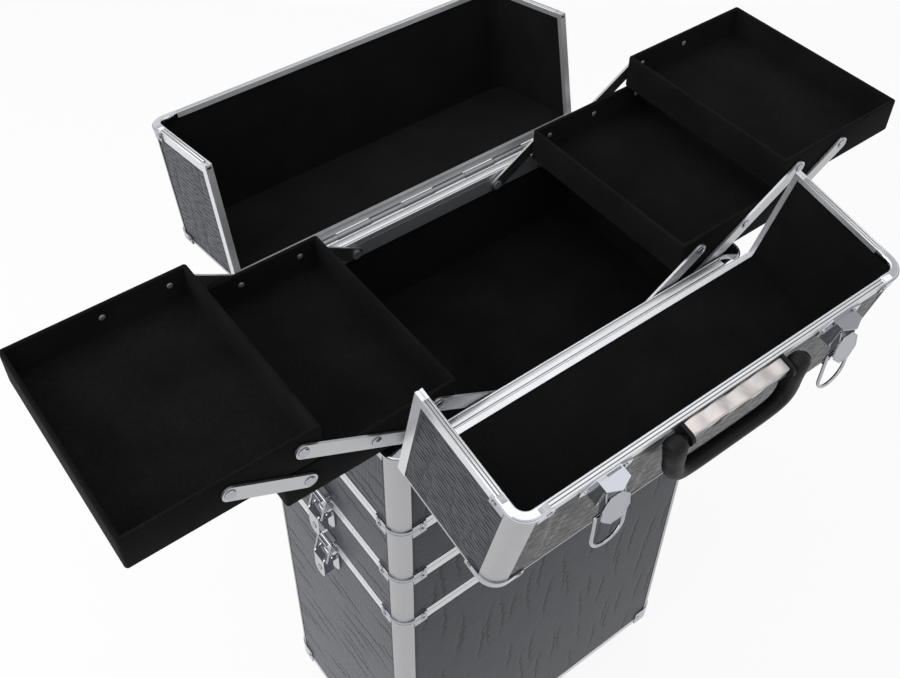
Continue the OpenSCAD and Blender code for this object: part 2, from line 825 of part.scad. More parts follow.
module top_latch_base() {
  side = base_ear_x + latch_t;
  mid = -latch_edge - top_base_l / 2;
  // Plate with a tapered wing on each side
  linear_extrude(latch_t) both_sides()
    polygon([
      [0, mid + top_base_l / 2], [side, mid + top_base_l / 2], [top_base_w / 2, mid + wing_end / 2],
      [top_base_w / 2, mid - wing_end / 2], [side, mid - top_base_l / 2], [0, mid - top_base_l / 2]
    ]);
  // Cheeks, the peaked plate across their ends, and the pivot
  both_sides() translate([base_ear_x, -latch_edge - cheek_l, 0]) cube([latch_t, cheek_l, cheek_h]);
  upright(-latch_edge, latch_t)
    polygon([
      [-side, end_slot_h], [side, end_slot_h], [side, end_side_h], [0, end_peak_h], [-side, end_side_h]
    ]);
  translate([-side, -top_pivot_y, top_pivot_h]) rotate([0, 90, 0]) cylinder(r = top_pin_r, h = 2 * side);
  // Rivets in the wings
  both_sides() translate([(side + top_base_w / 2) / 2, mid, 0]) cylinder(r = rivet_r, h = latch_t + rivet_h);
}

// Turns a drawing of the flat lever out to its loose angle
module lever_place(left) {
  open_lid() translate([(left ? -1 : 1) * top_latch_x, -top_pivot_y, z_lid + top_pivot_h])
    rotate([-lever_tilt, 0, 0]) children();
}

// Two ribs from pivot to pivot under an eight-sided plate
module top_latch_lever(left) {
  ear_r = top_ear_r - run_gap;
  color(chrome) lever_place(left) {
    difference() {
      both_sides() translate([lever_ear_x, 0, 0]) rotate([90, 0, 90]) linear_extrude(latch_t) {
        circle(ear_r);
        translate([-bail_out, 0]) circle(ear_r);
        translate([-bail_out, -lever_rib]) square([bail_out, lever_rib + octagon_up + latch_t / 2]);
      }
      for (y = [0, -bail_out]) translate([-octagon_w, y, 0]) rotate([0, 90, 0])
        cylinder(r = (y == 0 ? top_pin_r : bail_r) + pin_gap, h = 2 * octagon_w);
    }
    translate([0, -octagon_out, octagon_up]) rotate([0, 0, 22.5])
      cylinder(r = octagon_w / 2 / cos(22.5), h = latch_t, $fn = 8);
  }
}

// Wire bail: two legs with inward pivots, joined by a half ring
module top_latch_bail(left) {
  color(chrome) lever_place(left) translate([0, -bail_out, 0]) rotate([bail_hang, 0, 0]) {
    both_sides() {
      translate([lever_ear_x, 0, 0]) rotate([0, 90, 0]) cylinder(r = bail_r, h = bail_x - lever_ear_x);
      translate([bail_x, 0, 0]) sphere(bail_r);
      translate([bail_x, 0, 0]) rotate([90, 0, 0]) cylinder(r = bail_r, h = bail_leg);
    }
    translate([0, -bail_leg, 0]) rotate([0, 0, 180])
      rotate_extrude(angle = 180) translate([bail_x, 0]) circle(bail_r);
  }
}

// Hook on the rear lid that a closed bail draws against
module top_keeper() {
  plate_l = keeper_y + top_hook;
  hook_z = top_pivot_h + bail_r;
  translate([-keeper_w / 2, -plate_l - latch_edge, 0]) cube([keeper_w, plate_l, latch_t]);
  translate([-keeper_w / 2, -keeper_y, 0]) cube([keeper_w, hook_t, hook_z]);
  translate([-keeper_w / 2, -keeper_y - top_hook, hook_z]) cube([keeper_w, top_hook + hook_t, hook_t]);
}

// Trays and their arms, drawn on the right

module tray_pin() {
  reach = run_gap + arm_t + run_gap;
  translate([0, 0, -tray_wall / 2]) cylinder(r = pin_head_r, h = spacer_t + tray_wall / 2);
  cylinder(r = pin_r, h = spacer_t + reach);
  translate([0, 0, spacer_t + reach]) cylinder(r = pin_head_r, h = pin_head_t);
}

module tray(x0, pivot_z, pivots) {
  low = pivot_z + pivot_drop - tray_h;
  difference() {
    translate([x0, -tray_w / 2, low]) cube([tray_l, tray_w, tray_h]);
    translate([x0 + tray_wall, -tray_w / 2 + tray_wall, low + tray_floor])
      cube([tray_l - 2 * tray_wall, tray_w - 2 * tray_wall, tray_h]);
  }
  front_and_rear() for (x = pivots) translate([x, tray_w / 2, pivot_z]) rotate([-90, 0, 0]) tray_pin();
}

module lower_tray(left) {
  color(flock) on_side(left) tray(lower_in, lower_z, lower_x);
}

module upper_tray(left) {
  color(flock) on_side(left) tray(upper_in, upper_z, upper_x);
}

// A front arm and the same arm at the rear, from a pivot outward and up
module arm_pair(x, z, length, bores) {
  front_and_rear() translate([x, 0, z]) upright(-arm_in, arm_t) rotate(arm_angle) arm_profile(length, bores);
}

module long_arms(left) {
  color(alu) on_side(left) arm_pair(rail_x[1], rail_z, 2 * arm_len, [0, arm_len, 2 * arm_len]);
}

module short_arms(left) {
  color(alu) on_side(left) arm_pair(rail_x[0], rail_z, arm_len, [0, arm_len]);
}

module tray_links(left) {
  color(alu) on_side(left) arm_pair(lower_x[2], lower_z, arm_len, [0, arm_len]);
}

module tray_rails() {
  reach = run_gap + arm_t + run_gap;
  rail_l = 2 * (rail_x[1] + rail_end);
  color(steel) front_and_rear() {
    translate([-rail_l / 2, clear_w - rail_t, rail_top - rail_h]) cube([rail_l, rail_t, rail_h]);
    both_sides() for (x = rail_x) translate([x, clear_w - rail_t, rail_z]) rotate([90, 0, 0]) {
      translate([0, 0, -rail_t / 2]) cylinder(r = pin_r, h = reach + rail_t / 2);
      translate([0, 0, reach]) cylinder(r = pin_head_r, h = pin_head_t);
    }
  }
}

// Side latches, drawn on the right with the origin on the seam at the frame's outer face

module side_place(left, level) {
  on_side(left) translate([half_l, 0, seams[level]]) children();
}

module side_latch_bases() {
  cheek = side_lever_w / 2 + run_gap;
  round_r = side_base_w / 2;
  color(chrome) for (left = [false, true], level = [0:2]) side_place(left, level) {
    // Plate with a rounded lower end
    rotate([90, 0, 90]) linear_extrude(latch_t) {
      translate([-round_r, -side_base_h + round_r]) square([side_base_w, side_base_h - round_r - recess]);
      translate([0, -side_base_h + round_r]) circle(round_r);
    }
    // Cheeks and pivot pin
    front_and_rear() translate([0, -cheek, 0]) upright(0, latch_t) {
      translate([side_pivot_out, -side_pivot_drop]) circle(side_ear_r);
      translate([0, -side_pivot_drop - side_ear_r]) square([side_pivot_out, 2 * side_ear_r]);
    }
    translate([side_pivot_out, -cheek - latch_t, -side_pivot_drop]) rotate([-90, 0, 0])
      cylinder(r = side_pin_r, h = 2 * (cheek + latch_t));
  }
}

// Plates on the boxes above, each with an upturned hook that holds a loop's bar
module side_keepers() {
  ledge = loop_bar_up - loop_r - run_gap - hook_t;
  lip = loop_bar_out + loop_r + 2 * run_gap;
  color(chrome) for (left = [false, true], level = [0:2]) side_place(left, level) {
    translate([0, -side_keeper_w / 2, side_keeper_up]) cube([latch_t, side_keeper_w, side_keeper_h]);
    translate([0, -hook_w / 2, ledge]) cube([lip + hook_t, hook_w, hook_t]);
    translate([lip, -hook_w / 2, ledge]) cube([hook_t, hook_w, hook_t + loop_r]);
  }
}

// Channel with its face outward: two flanges round the pivots, and a face with a lock and a
// rounded lower end
module side_lever(left, level) {
  front = side_throw + lever_r;
  round_r = side_lever_w / 2;
  color(chrome) side_place(left, level) translate([side_pivot_out, 0, -side_pivot_drop]) {
    difference() {
      front_and_rear() translate([0, -side_lever_w / 2 + latch_t, 0]) upright(0, latch_t) {
        circle(lever_r);
        translate([side_throw, 0]) circle(lever_r);
        translate([0, -lever_r]) square([side_throw, 2 * lever_r]);
        translate([0, -side_lever_l]) square([front, side_lever_l]);
      }
      for (x = [0, side_throw]) translate([x, -side_lever_w, 0]) rotate([-90, 0, 0])
        cylinder(r = (x == 0 ? side_pin_r : loop_r) + pin_gap, h = 2 * side_lever_w);
    }
    difference() {
      union() {
        translate([front - latch_t, 0, 0]) rotate([90, 0, 90]) linear_extrude(latch_t) {
          translate([-round_r, -side_lever_l]) square([side_lever_w, side_lever_l]);
          translate([0, -side_lever_l]) circle(round_r);
        }
        translate([front - latch_t, 0, -side_lever_l + lock_r]) rotate([0, 90, 0])
          cylinder(r = lock_r, h = latch_t + lock_h);
      }
      translate([front, -lock_slot / 2, -side_lever_l]) cube([2 * lock_h, lock_slot, 2 * lock_r]);
    }
  }
}

// Wire loop from the lever's sides up to a bar behind the keeper's lip
module side_loop(left, level) {
  leg = sqrt(loop_rise * loop_rise + loop_lean * loop_lean);
  lean = atan2(loop_lean, loop_rise);
  pivot_in = side_lever_w / 2 - latch_t;
  color(chrome) side_place(left, level)
    translate([side_pivot_out + side_throw, 0, -side_pivot_drop]) rotate([0, -lean, 0]) {
      front_and_rear() {
        translate([0, pivot_in, 0]) rotate([-90, 0, 0]) cylinder(r = loop_r, h = loop_x - pivot_in);
        translate([0, loop_x, 0]) sphere(loop_r);
        translate([0, loop_x, 0]) cylinder(r = loop_r, h = leg);
        translate([0, loop_x, leg]) sphere(loop_r);
      }
      translate([0, -loop_x, leg]) rotate([-90, 0, 0]) cylinder(r = loop_r, h = 2 * loop_x);
    }
}

// Wheels, feet and pull handle

module wheel_forks() {
  inside = wheel_w / 2 + run_gap;
  top = z_base + recess;
  boss_r = axle_r + axle_boss;
  color(steel) both_sides() translate([wheel_x, wheel_y, 0]) {
    translate([-inside - fork_t, -fork_w / 2, top - fork_t]) cube([2 * (inside + fork_t), fork_w, fork_t]);
    for (side = [-1, 1]) translate([side * (inside + fork_t / 2), 0, 0]) rotate([90, 0, 90])
      linear_extrude(fork_t, center = true) {
        translate([0, wheel_r]) circle(boss_r);
        polygon([
          [-boss_r, wheel_r], [boss_r, wheel_r],
          [fork_w / 2, top - fork_t / 2], [-fork_w / 2, top - fork_t / 2]
        ]);
      }
    translate([-inside - fork_t, 0, wheel_r]) rotate([0, 90, 0])
      cylinder(r = axle_r, h = 2 * (inside + fork_t));
  }
}

module wheel(left) {
  bore = axle_r + pin_gap;
  color(black) on_side(left) translate([wheel_x, wheel_y, wheel_r]) rotate([0, 90, 0])
    rotate_extrude($fn = 64) difference() {
      union() {
        translate([bore, -wheel_w / 2]) square([wheel_r - bore - wheel_edge, wheel_w]);
        translate([bore, -wheel_w / 2 + wheel_edge]) square([wheel_r - bore, wheel_w - 2 * wheel_edge]);
        for (side = [-1, 1]) translate([wheel_r - wheel_edge, side * (wheel_w / 2 - wheel_edge)])
          circle(wheel_edge);
      }
      // Hollow between the hub and the tread on each side
      for (side = [-1, 1]) translate([wheel_hub, side * wheel_w / 2 - wheel_dish])
        square([wheel_r - wheel_tread - wheel_hub, 2 * wheel_dish]);
    }
}

module front_feet() {
  top = z_base + recess;
  color(black) both_sides() translate([wheel_x, -wheel_y, 0]) rotate_extrude()
    polygon([
      [0, 0], [foot_r - foot_chamfer, 0], [foot_r, foot_chamfer],
      [foot_r + foot_taper, top - foot_plate], [foot_top_r, top - foot_plate],
      [foot_top_r, top], [0, top]
    ]);
}

// Tubes on the rear wall, each held by two clamps and closed at the bottom
module pull_sleeves() {
  bore = tube_r + slide_gap;
  outer = bore + tube_wall;
  clamp_r = outer + clamp_t;
  low = z_base + sleeve_low;
  high = z_box1 - rim_h - sleeve_down;
  color(steel) both_sides() translate([tube_x, half_w + tube_off, 0]) difference() {
    union() {
      translate([0, 0, low]) cylinder(r = outer, h = high - low);
      for (z = [low + clamp_in, high - clamp_h - clamp_in]) translate([0, 0, z]) {
        translate([-clamp_r, -tube_off - recess, 0]) cube([2 * clamp_r, tube_off + recess, clamp_h]);
        cylinder(r = clamp_r, h = clamp_h);
      }
    }
    translate([0, 0, low + sleeve_end]) cylinder(r = bore, h = high - low);
  }
}

module pull_tubes() {
  low = z_base + sleeve_low + sleeve_end + run_gap;
  high = z_box1 + pull_up;
  color(bright) both_sides() translate([tube_x, half_w + tube_off, low]) difference() {
    cylinder(r = tube_r, h = high - low - pull_r);
    translate([0, 0, -tube_wall]) cylinder(r = tube_r - tube_wall, h = high - low);
  }
}

// Moulded grip with a socket over each tube
module pull_grip() {
  color(black) translate([0, half_w + tube_off, z_box1 + pull_up]) {
    translate([-tube_x, 0, 0]) rotate([0, 90, 0]) cylinder(r = pull_r, h = 2 * tube_x);
    both_sides() translate([tube_x, 0, 0]) {
      sphere(pull_r);
      translate([0, 0, -pull_r]) cylinder(r = pull_r, h = pull_r);
    }
  }
}

trunk_boards();
middle_box_boards();
top_case_boards();
top_case_lining();
corner_posts();
edge_rims();
corner_caps();
tray_rails();
side_latch_bases();
side_keepers();
hinge_leaves();
wheel_forks();
front_feet();
pull_sleeves();
pull_tubes();
pull_grip();
wheel(true);  // wheel_left
wheel(false);  // wheel_right
lid_boards();  // front_lid_boards
lid_lining();  // front_lid_lining
lid_frame();  // front_lid_frame
lid_rim();  // front_lid_rim
front_lid_fittings();
lid_leaf();  // front_hinge_leaf
handle_plate();
handle_brackets();
carry_grip();
top_latch_lever(true);  // top_latch_lever_left
top_latch_lever(false);  // top_latch_lever_right
top_latch_bail(true);  // top_latch_bail_left
top_latch_bail(false);  // top_latch_bail_right
mirror([0, 1, 0]) lid_boards();  // rear_lid_boards
mirror([0, 1, 0]) lid_lining();  // rear_lid_lining
mirror([0, 1, 0]) lid_frame();  // rear_lid_frame
mirror([0, 1, 0]) lid_rim();  // rear_lid_rim
rear_lid_fittings();
mirror([0, 1, 0]) lid_leaf();  // rear_hinge_leaf
lower_tray(true);  // lower_tray_left
lower_tray(false);  // lower_tray_right
upper_tray(true);  // upper_tray_left
upper_tray(false);  // upper_tray_right
long_arms(true);  // long_arms_left
long_arms(false);  // long_arms_right
short_arms(true);  // short_arms_left
short_arms(false);  // short_arms_right
tray_links(true);  // tray_links_left
tray_links(false);  // tray_links_right
side_lever(true, 0);  // side_lever_left_1
side_lever(true, 1);  // side_lever_left_2
side_lever(true, 2);  // side_lever_left_3
side_lever(false, 0);  // side_lever_right_1
side_lever(false, 1);  // side_lever_right_2
side_lever(false, 2);  // side_lever_right_3
side_loop(true, 0);  // side_loop_left_1
side_loop(true, 1);  // side_loop_left_2
side_loop(true, 2);  // side_loop_left_3
side_loop(false, 0);  // side_loop_right_1
side_loop(false, 1);  // side_loop_right_2
side_loop(false, 2);  // side_loop_right_3
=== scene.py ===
# %% [markdown]
# # A rolling make-up case, open on a white studio floor
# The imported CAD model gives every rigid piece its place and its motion. This lesson gives the
# pieces their finishes and adds what the eye expects on the real case: embossed skins on the
# boards, flocked trays with rounded edges, rivets, pressed covers and a moulded grip.
# Lengths of pieces are written in millimetres and turned into metres when a mesh is made. The
# camera and the lamps are placed in metres.

# %% Load the frame
import json
import math
import bmesh
import bpy
import numpy as np
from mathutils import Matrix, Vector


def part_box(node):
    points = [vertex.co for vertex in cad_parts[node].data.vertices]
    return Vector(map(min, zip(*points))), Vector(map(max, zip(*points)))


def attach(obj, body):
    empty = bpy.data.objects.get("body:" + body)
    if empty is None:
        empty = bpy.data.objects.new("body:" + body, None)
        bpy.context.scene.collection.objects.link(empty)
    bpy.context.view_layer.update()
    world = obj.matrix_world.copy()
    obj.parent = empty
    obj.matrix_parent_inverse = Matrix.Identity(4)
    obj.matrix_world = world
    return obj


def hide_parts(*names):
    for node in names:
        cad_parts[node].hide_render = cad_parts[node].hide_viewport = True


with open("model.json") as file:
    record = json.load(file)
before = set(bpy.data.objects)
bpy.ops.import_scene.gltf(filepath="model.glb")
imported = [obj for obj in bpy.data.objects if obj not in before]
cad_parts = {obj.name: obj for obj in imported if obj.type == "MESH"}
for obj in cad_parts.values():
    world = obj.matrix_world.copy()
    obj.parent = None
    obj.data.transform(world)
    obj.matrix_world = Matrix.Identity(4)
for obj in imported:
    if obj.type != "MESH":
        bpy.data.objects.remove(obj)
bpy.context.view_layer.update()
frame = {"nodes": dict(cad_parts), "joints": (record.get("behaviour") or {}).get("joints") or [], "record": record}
joints = {joint["name"]: joint for joint in frame["joints"]}

# %% [markdown]
# ## The sizes that the new pieces share with the CAD
# A new piece has to lie on its CAD board or pin, so the few driving sizes of the case are
# repeated here. Places that the model itself can tell, such as pivots, come from its joints.

# %% Driving sizes in millimetres
HALF_L, HALF_W = 180.0, 108.0
Z_BASE, Z_BOX1, Z_BOX2, Z_CASE, Z_RIM, Z_LID = 43.0, 409.0, 479.0, 549.0, 647.0, 754.0
RECESS, POST_R, RIM_H, RIM_W, TRIM = 1.0, 14.0, 8.0, 10.0, 2.5
BOX_SEAM, LOW_FLANGE, LID_SEAM, LID_RIM_W = 0.6, 5.5, 0.3, 5.8
HINGE_Y, LID_OPEN = 111.8, math.radians(102)
print("case", 2 * HALF_L, "x", 2 * HALF_W, "mm, boards lie", RECESS, "mm behind the frame")

# %% [markdown]
# ## Camera
# The camera was solved from the photograph together with the case's sizes: its place, the
# direction it looks in, a slight roll, and a focal length in pixels of a 900 x 678 image. The
# photograph was cropped, so its optical axis isn't in the middle, and the lens is shifted.

# %% Put the camera where the photograph was taken
IMAGE_W, IMAGE_H, FOCAL_PX, AXIS_Y_PX = 900, 678, 1134.45, 263.67
CAMERA_PLACE = -0.43407, -0.49856, 1.30756
azimuth, elevation, roll = np.radians([-37.63, 44.73, 0.82])
back = np.array([
    math.sin(azimuth) * math.cos(elevation),
    -math.cos(azimuth) * math.cos(elevation),
    math.sin(elevation),
])
level_right = np.array([math.cos(azimuth), math.sin(azimuth), 0.0])
level_up = np.cross(back, level_right)
right = math.cos(roll) * level_right + math.sin(roll) * level_up
up = math.cos(roll) * level_up - math.sin(roll) * level_right

lens = bpy.data.cameras.new("photo_lens")
lens.sensor_width = 36.0
lens.lens = FOCAL_PX / IMAGE_W * lens.sensor_width
lens.shift_y = (AXIS_Y_PX - IMAGE_H / 2) / IMAGE_W
camera = bpy.data.objects.new("photo_camera", lens)
matrix = np.eye(4)
matrix[:3, 0], matrix[:3, 1], matrix[:3, 2] = right, up, back
matrix[:3, 3] = CAMERA_PLACE
camera.matrix_world = matrix.T.tolist()
bpy.context.scene.collection.objects.link(camera)
bpy.context.scene.camera = camera
print("lens", round(lens.lens, 2), "mm, shift", round(lens.shift_y, 4))

# %% [markdown]
# ## Small tools for materials
# Every material here is a Principled shader with a few pattern nodes in front of it. Colours
# are written as the sRGB hex values that a picture shows, and one function makes them linear.
# One function adds any node with its settings and links, so each material reads from top to
# bottom like a recipe.

# %% Colour and node helpers
def colour(hex_value):
    """sRGB hex to linear RGBA: each channel goes through the sRGB curve."""
    srgb = np.array([int(hex_value[i:i + 2], 16) for i in (1, 3, 5)]) / 255
    linear = np.where(srgb <= 0.04045, srgb / 12.92, ((srgb + 0.055) / 1.055) ** 2.4)
    return (*linear.tolist(), 1.0)


def add(tree, kind, links=None, **settings):
    """Adds a node, sets its properties, and fills each named input with a value or a link."""
    node = tree.nodes.new(kind)
    for name, value in settings.items():
        setattr(node, name, value)
    for name, value in (links or {}).items():
        if isinstance(value, bpy.types.NodeSocket):
            tree.links.new(value, node.inputs[name])
        else:
            node.inputs[name].default_value = value
    return node


def start_material(name, **sockets):
    """A new material with the given values on its Principled shader; returns its parts."""
    material = bpy.data.materials.new(name)
    material.use_nodes = True
    tree = material.node_tree
    shader = tree.nodes["Principled BSDF"]
    for socket, value in sockets.items():
        shader.inputs[socket.replace("_", " ")].default_value = value
    return material, tree, shader


def per_metre(millimetres):
    """Texture scale at which one feature of a pattern is this many millimetres wide."""
    return 1000.0 / millimetres


def set_grain(tree, shader, pattern, smooth, dull, strength, depth, low=0.0, high=1.0):
    """A pattern gives a surface its grain: values from low to high take the roughness from smooth
    to dull, and raise a bump of this depth in metres."""
    rough = add(tree, "ShaderNodeMapRange", {
        "Value": pattern, "From Min": low, "From Max": high, "To Min": smooth, "To Max": dull,
    })
    tree.links.new(rough.outputs["Result"], shader.inputs["Roughness"])
    bump = add(tree, "ShaderNodeBump", {"Height": pattern, "Strength": strength, "Distance": depth})
    tree.links.new(bump.outputs["Normal"], shader.inputs["Normal"])


print("a mid grey #808080 is", round(colour("#808080")[0], 3), "in linear light")

# %% [markdown]
# ## Crocodile laminate
# The boards are faced with a dark grey vinyl laminate, embossed between rollers in a crocodile pattern. The eye
# sees a mottled skin, darker creases whose darkness is painted shade, and fine wrinkles that catch long
# highlights. On the boxes and on the lids' sides the skin is matt; the lids' tops have a glossier copy of it,
# painted darker to stand in for how the light falls on them. The big forms are real geometry further down, which
# stores how deep each point lies in the creases and wrinkles. The material paints their shade into the colour with
# that attribute, darkening the creases and wrinkle valleys, and adds only the finest grain as a bump.

# %% Crocodile laminate material
def crocodile_laminate(name, coordinates, gloss, dark, light):
    """Vinyl mottled from dark to light, with creases painted black for their shade; gloss is its strength of
    mirroring.
    """
    material, tree, shader = start_material(name, Specular_IOR_Level=gloss)
    place = add(tree, "ShaderNodeTexCoord").outputs[coordinates]
    crease_depth_and_shade = add(tree, "ShaderNodeAttribute", attribute_name="crease_depth_and_shade").outputs["Fac"]
    mottle = add(tree, "ShaderNodeTexNoise", {"Vector": place, "Scale": per_metre(30.0), "Detail": 3.0})
    crown = add(tree, "ShaderNodeValToRGB", {"Fac": mottle.outputs["Fac"]})
    crown.color_ramp.elements[0].color = colour(dark)
    crown.color_ramp.elements[1].color = colour(light)
    # Painted shade: the colour goes towards near black where the attribute marks creases and wrinkle valleys.
    skin = add(tree, "ShaderNodeMix", {
        "Factor": crease_depth_and_shade, "A": crown.outputs["Color"], "B": colour("#08080a"),
    }, data_type="RGBA")
    tree.links.new(skin.outputs["Result"], shader.inputs["Base Color"])
    grain = add(tree, "ShaderNodeTexNoise", {"Vector": place, "Scale": per_metre(0.9), "Detail": 2.0})
    set_grain(tree, shader, grain.outputs["Fac"], 0.24, 0.36, strength=0.06, depth=0.0002)
    return material


MATT, GLOSSY = 0.08, 0.35
# Painted shade: the lids' tops get a darker, glossier copy of the laminate, which stands in for how the light
# falls on them.
GREY, LID_TOP_GREY_PAINTED_DARKER = ("#36383f", "#44464e"), ("#292a30", "#36373e")
box_skin = crocodile_laminate("embossed_vinyl_laminate", "UV", MATT, *GREY)
top_skin = crocodile_laminate("darker_glossier_laminate_copy_for_lid_tops", "UV", GLOSSY, *LID_TOP_GREY_PAINTED_DARKER)
laminate_board = crocodile_laminate("vinyl_faced_board", "Object", MATT, *GREY)
print("made", box_skin.name, top_skin.name, "and", laminate_board.name)

# %% [markdown]
# ## Flock
# Trays and linings are covered with black flock: short fibres shot onto glue by static charge.
# It swallows light, shows no highlight, and turns slightly grey where it is seen at a flat
# angle, which is what the shader's sheen gives. The fibres are far too fine to show, so the
# nap is drawn as soft clumps of about 2 mm.

# %% Flock material
def black_flock(name, dark, light):
    """Fibres from dark to light: fine clumps times broad brushed patches; the clumps are raised."""
    material, tree, shader = start_material(
        name, Roughness=0.95, Specular_IOR_Level=0.05, Sheen_Weight=0.02, Sheen_Roughness=0.5,
    )
    place = add(tree, "ShaderNodeTexCoord").outputs["Object"]
    nap = add(tree, "ShaderNodeTexNoise", {"Vector": place, "Scale": per_metre(2.0), "Detail": 4.0})
    brushed = add(tree, "ShaderNodeTexNoise", {"Vector": place, "Scale": per_metre(45.0), "Detail": 2.0})
    mixed = add(tree, "ShaderNodeMath", {
        0: nap.outputs["Fac"], 1: brushed.outputs["Fac"],
    }, operation="MULTIPLY")
    tone = add(tree, "ShaderNodeValToRGB", {"Fac": mixed.outputs["Value"]})
    tone.color_ramp.elements[0].position = 0.1
    tone.color_ramp.elements[0].color = colour(dark)
    tone.color_ramp.elements[1].position = 0.45
    tone.color_ramp.elements[1].color = colour(light)
    tree.links.new(tone.outputs["Color"], shader.inputs["Base Color"])
    bump = add(tree, "ShaderNodeBump", {
        "Height": nap.outputs["Fac"], "Strength": 0.5, "Distance": 0.0004,
    })
    tree.links.new(bump.outputs["Normal"], shader.inputs["Normal"])
    return material


lining_flock = black_flock("black_flock_lining", "#0b0b0b", "#151515")
tray_flock = black_flock("black_flock_on_trays", "#0c0c0c", "#171717")
print("made", lining_flock.name, "and", tray_flock.name)

# %% [markdown]
# ## Metals
# The frame is extruded aluminium. Its posts are satin anodised, which gives a soft grey with faint lines along the
# extrusion; the rims are bright anodised. Caps and latches are steel with chrome plate, almost a mirror, and so
# are most rivets; the corner covers get a brighter copy of that chrome, which stands in for the light they catch.
# The lids' rivets and the locks have a yellowish zinc plate. All share one recipe: a metal whose roughness changes
# along fine lines drawn out in the direction of drawing or rolling. The oxide on the rims and the zinc on the
# rails are a little milky, so these are only partly metallic. A piece may paint shade into its grooves with an
# attribute, which takes the tint to dark grey there.

# %% Metal materials
def drawn_metal(name, tint, smooth, dull, stretch, line_mm, metallic=1.0):
    """A metal with lines: noise squeezed to line_mm across and drawn out by stretch (x, y, z)."""
    material, tree, shader = start_material(name, Metallic=metallic)
    # Painted shade: where a piece's groove attribute is 1, the tint goes to dark grey.
    groove = add(tree, "ShaderNodeAttribute", attribute_name="groove").outputs["Fac"]
    toned = add(tree, "ShaderNodeMix", {
        "Factor": groove, "A": colour(tint), "B": colour("#4c4d50"),
    }, data_type="RGBA")
    tree.links.new(toned.outputs["Result"], shader.inputs["Base Color"])
    place = add(tree, "ShaderNodeTexCoord").outputs["Object"]
    drawn = add(tree, "ShaderNodeMapping", {"Vector": place, "Scale": stretch})
    lines = add(tree, "ShaderNodeTexNoise", {
        "Vector": drawn.outputs["Vector"], "Scale": per_metre(line_mm), "Detail": 3.0,
    })
    set_grain(tree, shader, lines.outputs["Fac"], smooth, dull, strength=0.03, depth=0.0002,
              low=0.3, high=0.7)
    return material


satin = drawn_metal("satin_anodised_aluminium", "#adadb0", 0.36, 0.48, (1, 1, 0.02), 0.8)
bright = drawn_metal("bright_anodised_aluminium", "#cfd0d3", 0.28, 0.4, (0.05, 0.05, 1), 0.8, 0.75)
arm_metal = drawn_metal("rolled_aluminium_arms", "#b9babc", 0.3, 0.42, (0.05, 1, 1), 1.0)
chrome = drawn_metal("chrome_plated_steel", "#a6a8ae", 0.05, 0.12, (1, 1, 1), 6.0)
# Painted light: the covers get a brighter copy of the chrome, which stands in for the light they catch.
brighter_chrome = drawn_metal("brighter_chrome_copy_for_covers", "#c6c8cc", 0.03, 0.08, (1, 1, 1), 6.0)
brassy = drawn_metal("yellow_zinc_rivets", "#9c978b", 0.2, 0.34, (1, 1, 1), 2.0)
dark_zinc = drawn_metal("dark_zinc_plated_steel", "#8b8d91", 0.28, 0.45, (0.05, 1, 1), 1.5, 0.5)
metals = (satin, bright, arm_metal, chrome, brighter_chrome, brassy, dark_zinc)
print("made", ", ".join(metal.name for metal in metals))

# %% [markdown]
# ## Plastics, rubber and the handle's film
# The grip, feet and pull grip are moulded polypropylene with an eroded grain. The wheels are
# matt rubber. The handle's base still wears its clear protective film, so it is a polished
# silver surface under a crinkled coat with a faint pink and blue shimmer.

# %% Plastic, rubber and film materials
def moulded(name, base, smooth, dull, grain_mm, depth):
    """Moulded plastic or rubber: one dark colour, with eroded grain in roughness and bump."""
    material, tree, shader = start_material(name, Base_Color=colour(base), Specular_IOR_Level=0.15)
    place = add(tree, "ShaderNodeTexCoord").outputs["Object"]
    grain = add(tree, "ShaderNodeTexVoronoi", {"Vector": place, "Scale": per_metre(grain_mm)})
    set_grain(tree, shader, grain.outputs["Distance"], smooth, dull, strength=0.4, depth=depth)
    return material


black_plastic = moulded("grained_black_polypropylene", "#121213", 0.4, 0.55, 0.9, 0.00015)
rubber = moulded("matt_black_rubber", "#151515", 0.6, 0.8, 1.5, 0.0002)

film, film_tree, film_shader = start_material(
    "silver_under_clear_film", Metallic=1.0, Coat_Weight=0.6, Coat_Roughness=0.08,
)
film_place = add(film_tree, "ShaderNodeTexCoord").outputs["Object"]
shimmer = add(film_tree, "ShaderNodeTexNoise", {
    "Vector": film_place, "Scale": per_metre(22.0), "Detail": 2.0, "Distortion": 1.5,
})
tints = add(film_tree, "ShaderNodeValToRGB", {"Fac": shimmer.outputs["Fac"]})
tints.color_ramp.elements[0].position = 0.3
tints.color_ramp.elements[0].color = colour("#a6a6a9")
tints.color_ramp.elements[1].position = 0.7
tints.color_ramp.elements[1].color = colour("#bdb4b0")
film_tree.links.new(tints.outputs["Color"], film_shader.inputs["Base Color"])
crinkle = add(film_tree, "ShaderNodeTexNoise", {
    "Vector": film_place, "Scale": per_metre(24.0), "Detail": 2.0, "Distortion": 1.0,
})
set_grain(film_tree, film_shader, crinkle.outputs["Fac"], 0.16, 0.4, strength=0.2, depth=0.002)
print("made", black_plastic.name, rubber.name, film.name)

# %% [markdown]
# ## Finishes for the CAD nodes
# Each CAD node names a material slot in the record. The table below says which finish stands
# for which slot, and every node gets its finish through it.

# %% Give every CAD node its finish
FINISH = {
    "crocodile_panel": laminate_board, "flocked_lining": lining_flock, "flocked_tray": tray_flock,
    "satin_aluminium": satin, "bright_aluminium": bright, "arm_aluminium": arm_metal,
    "chrome": chrome, "dark_steel": dark_zinc, "silver_plate": film,
    "black_plastic": black_plastic, "wheel_rubber": rubber,
}
for part in frame["record"]["subparts"]:
    mesh = frame["nodes"][part["node"]].data
    mesh.materials.clear()
    mesh.materials.append(FINISH[part["material_slot"]])

# %% [markdown]
# ## Small tools for meshes
# New pieces are computed as whole arrays: a grid of points, and quads between neighbours. A
# piece may hold several such grids, and a tube has flat ends. Closed pieces have their normals
# turned outward by Blender; open sheets are made with the right side up.

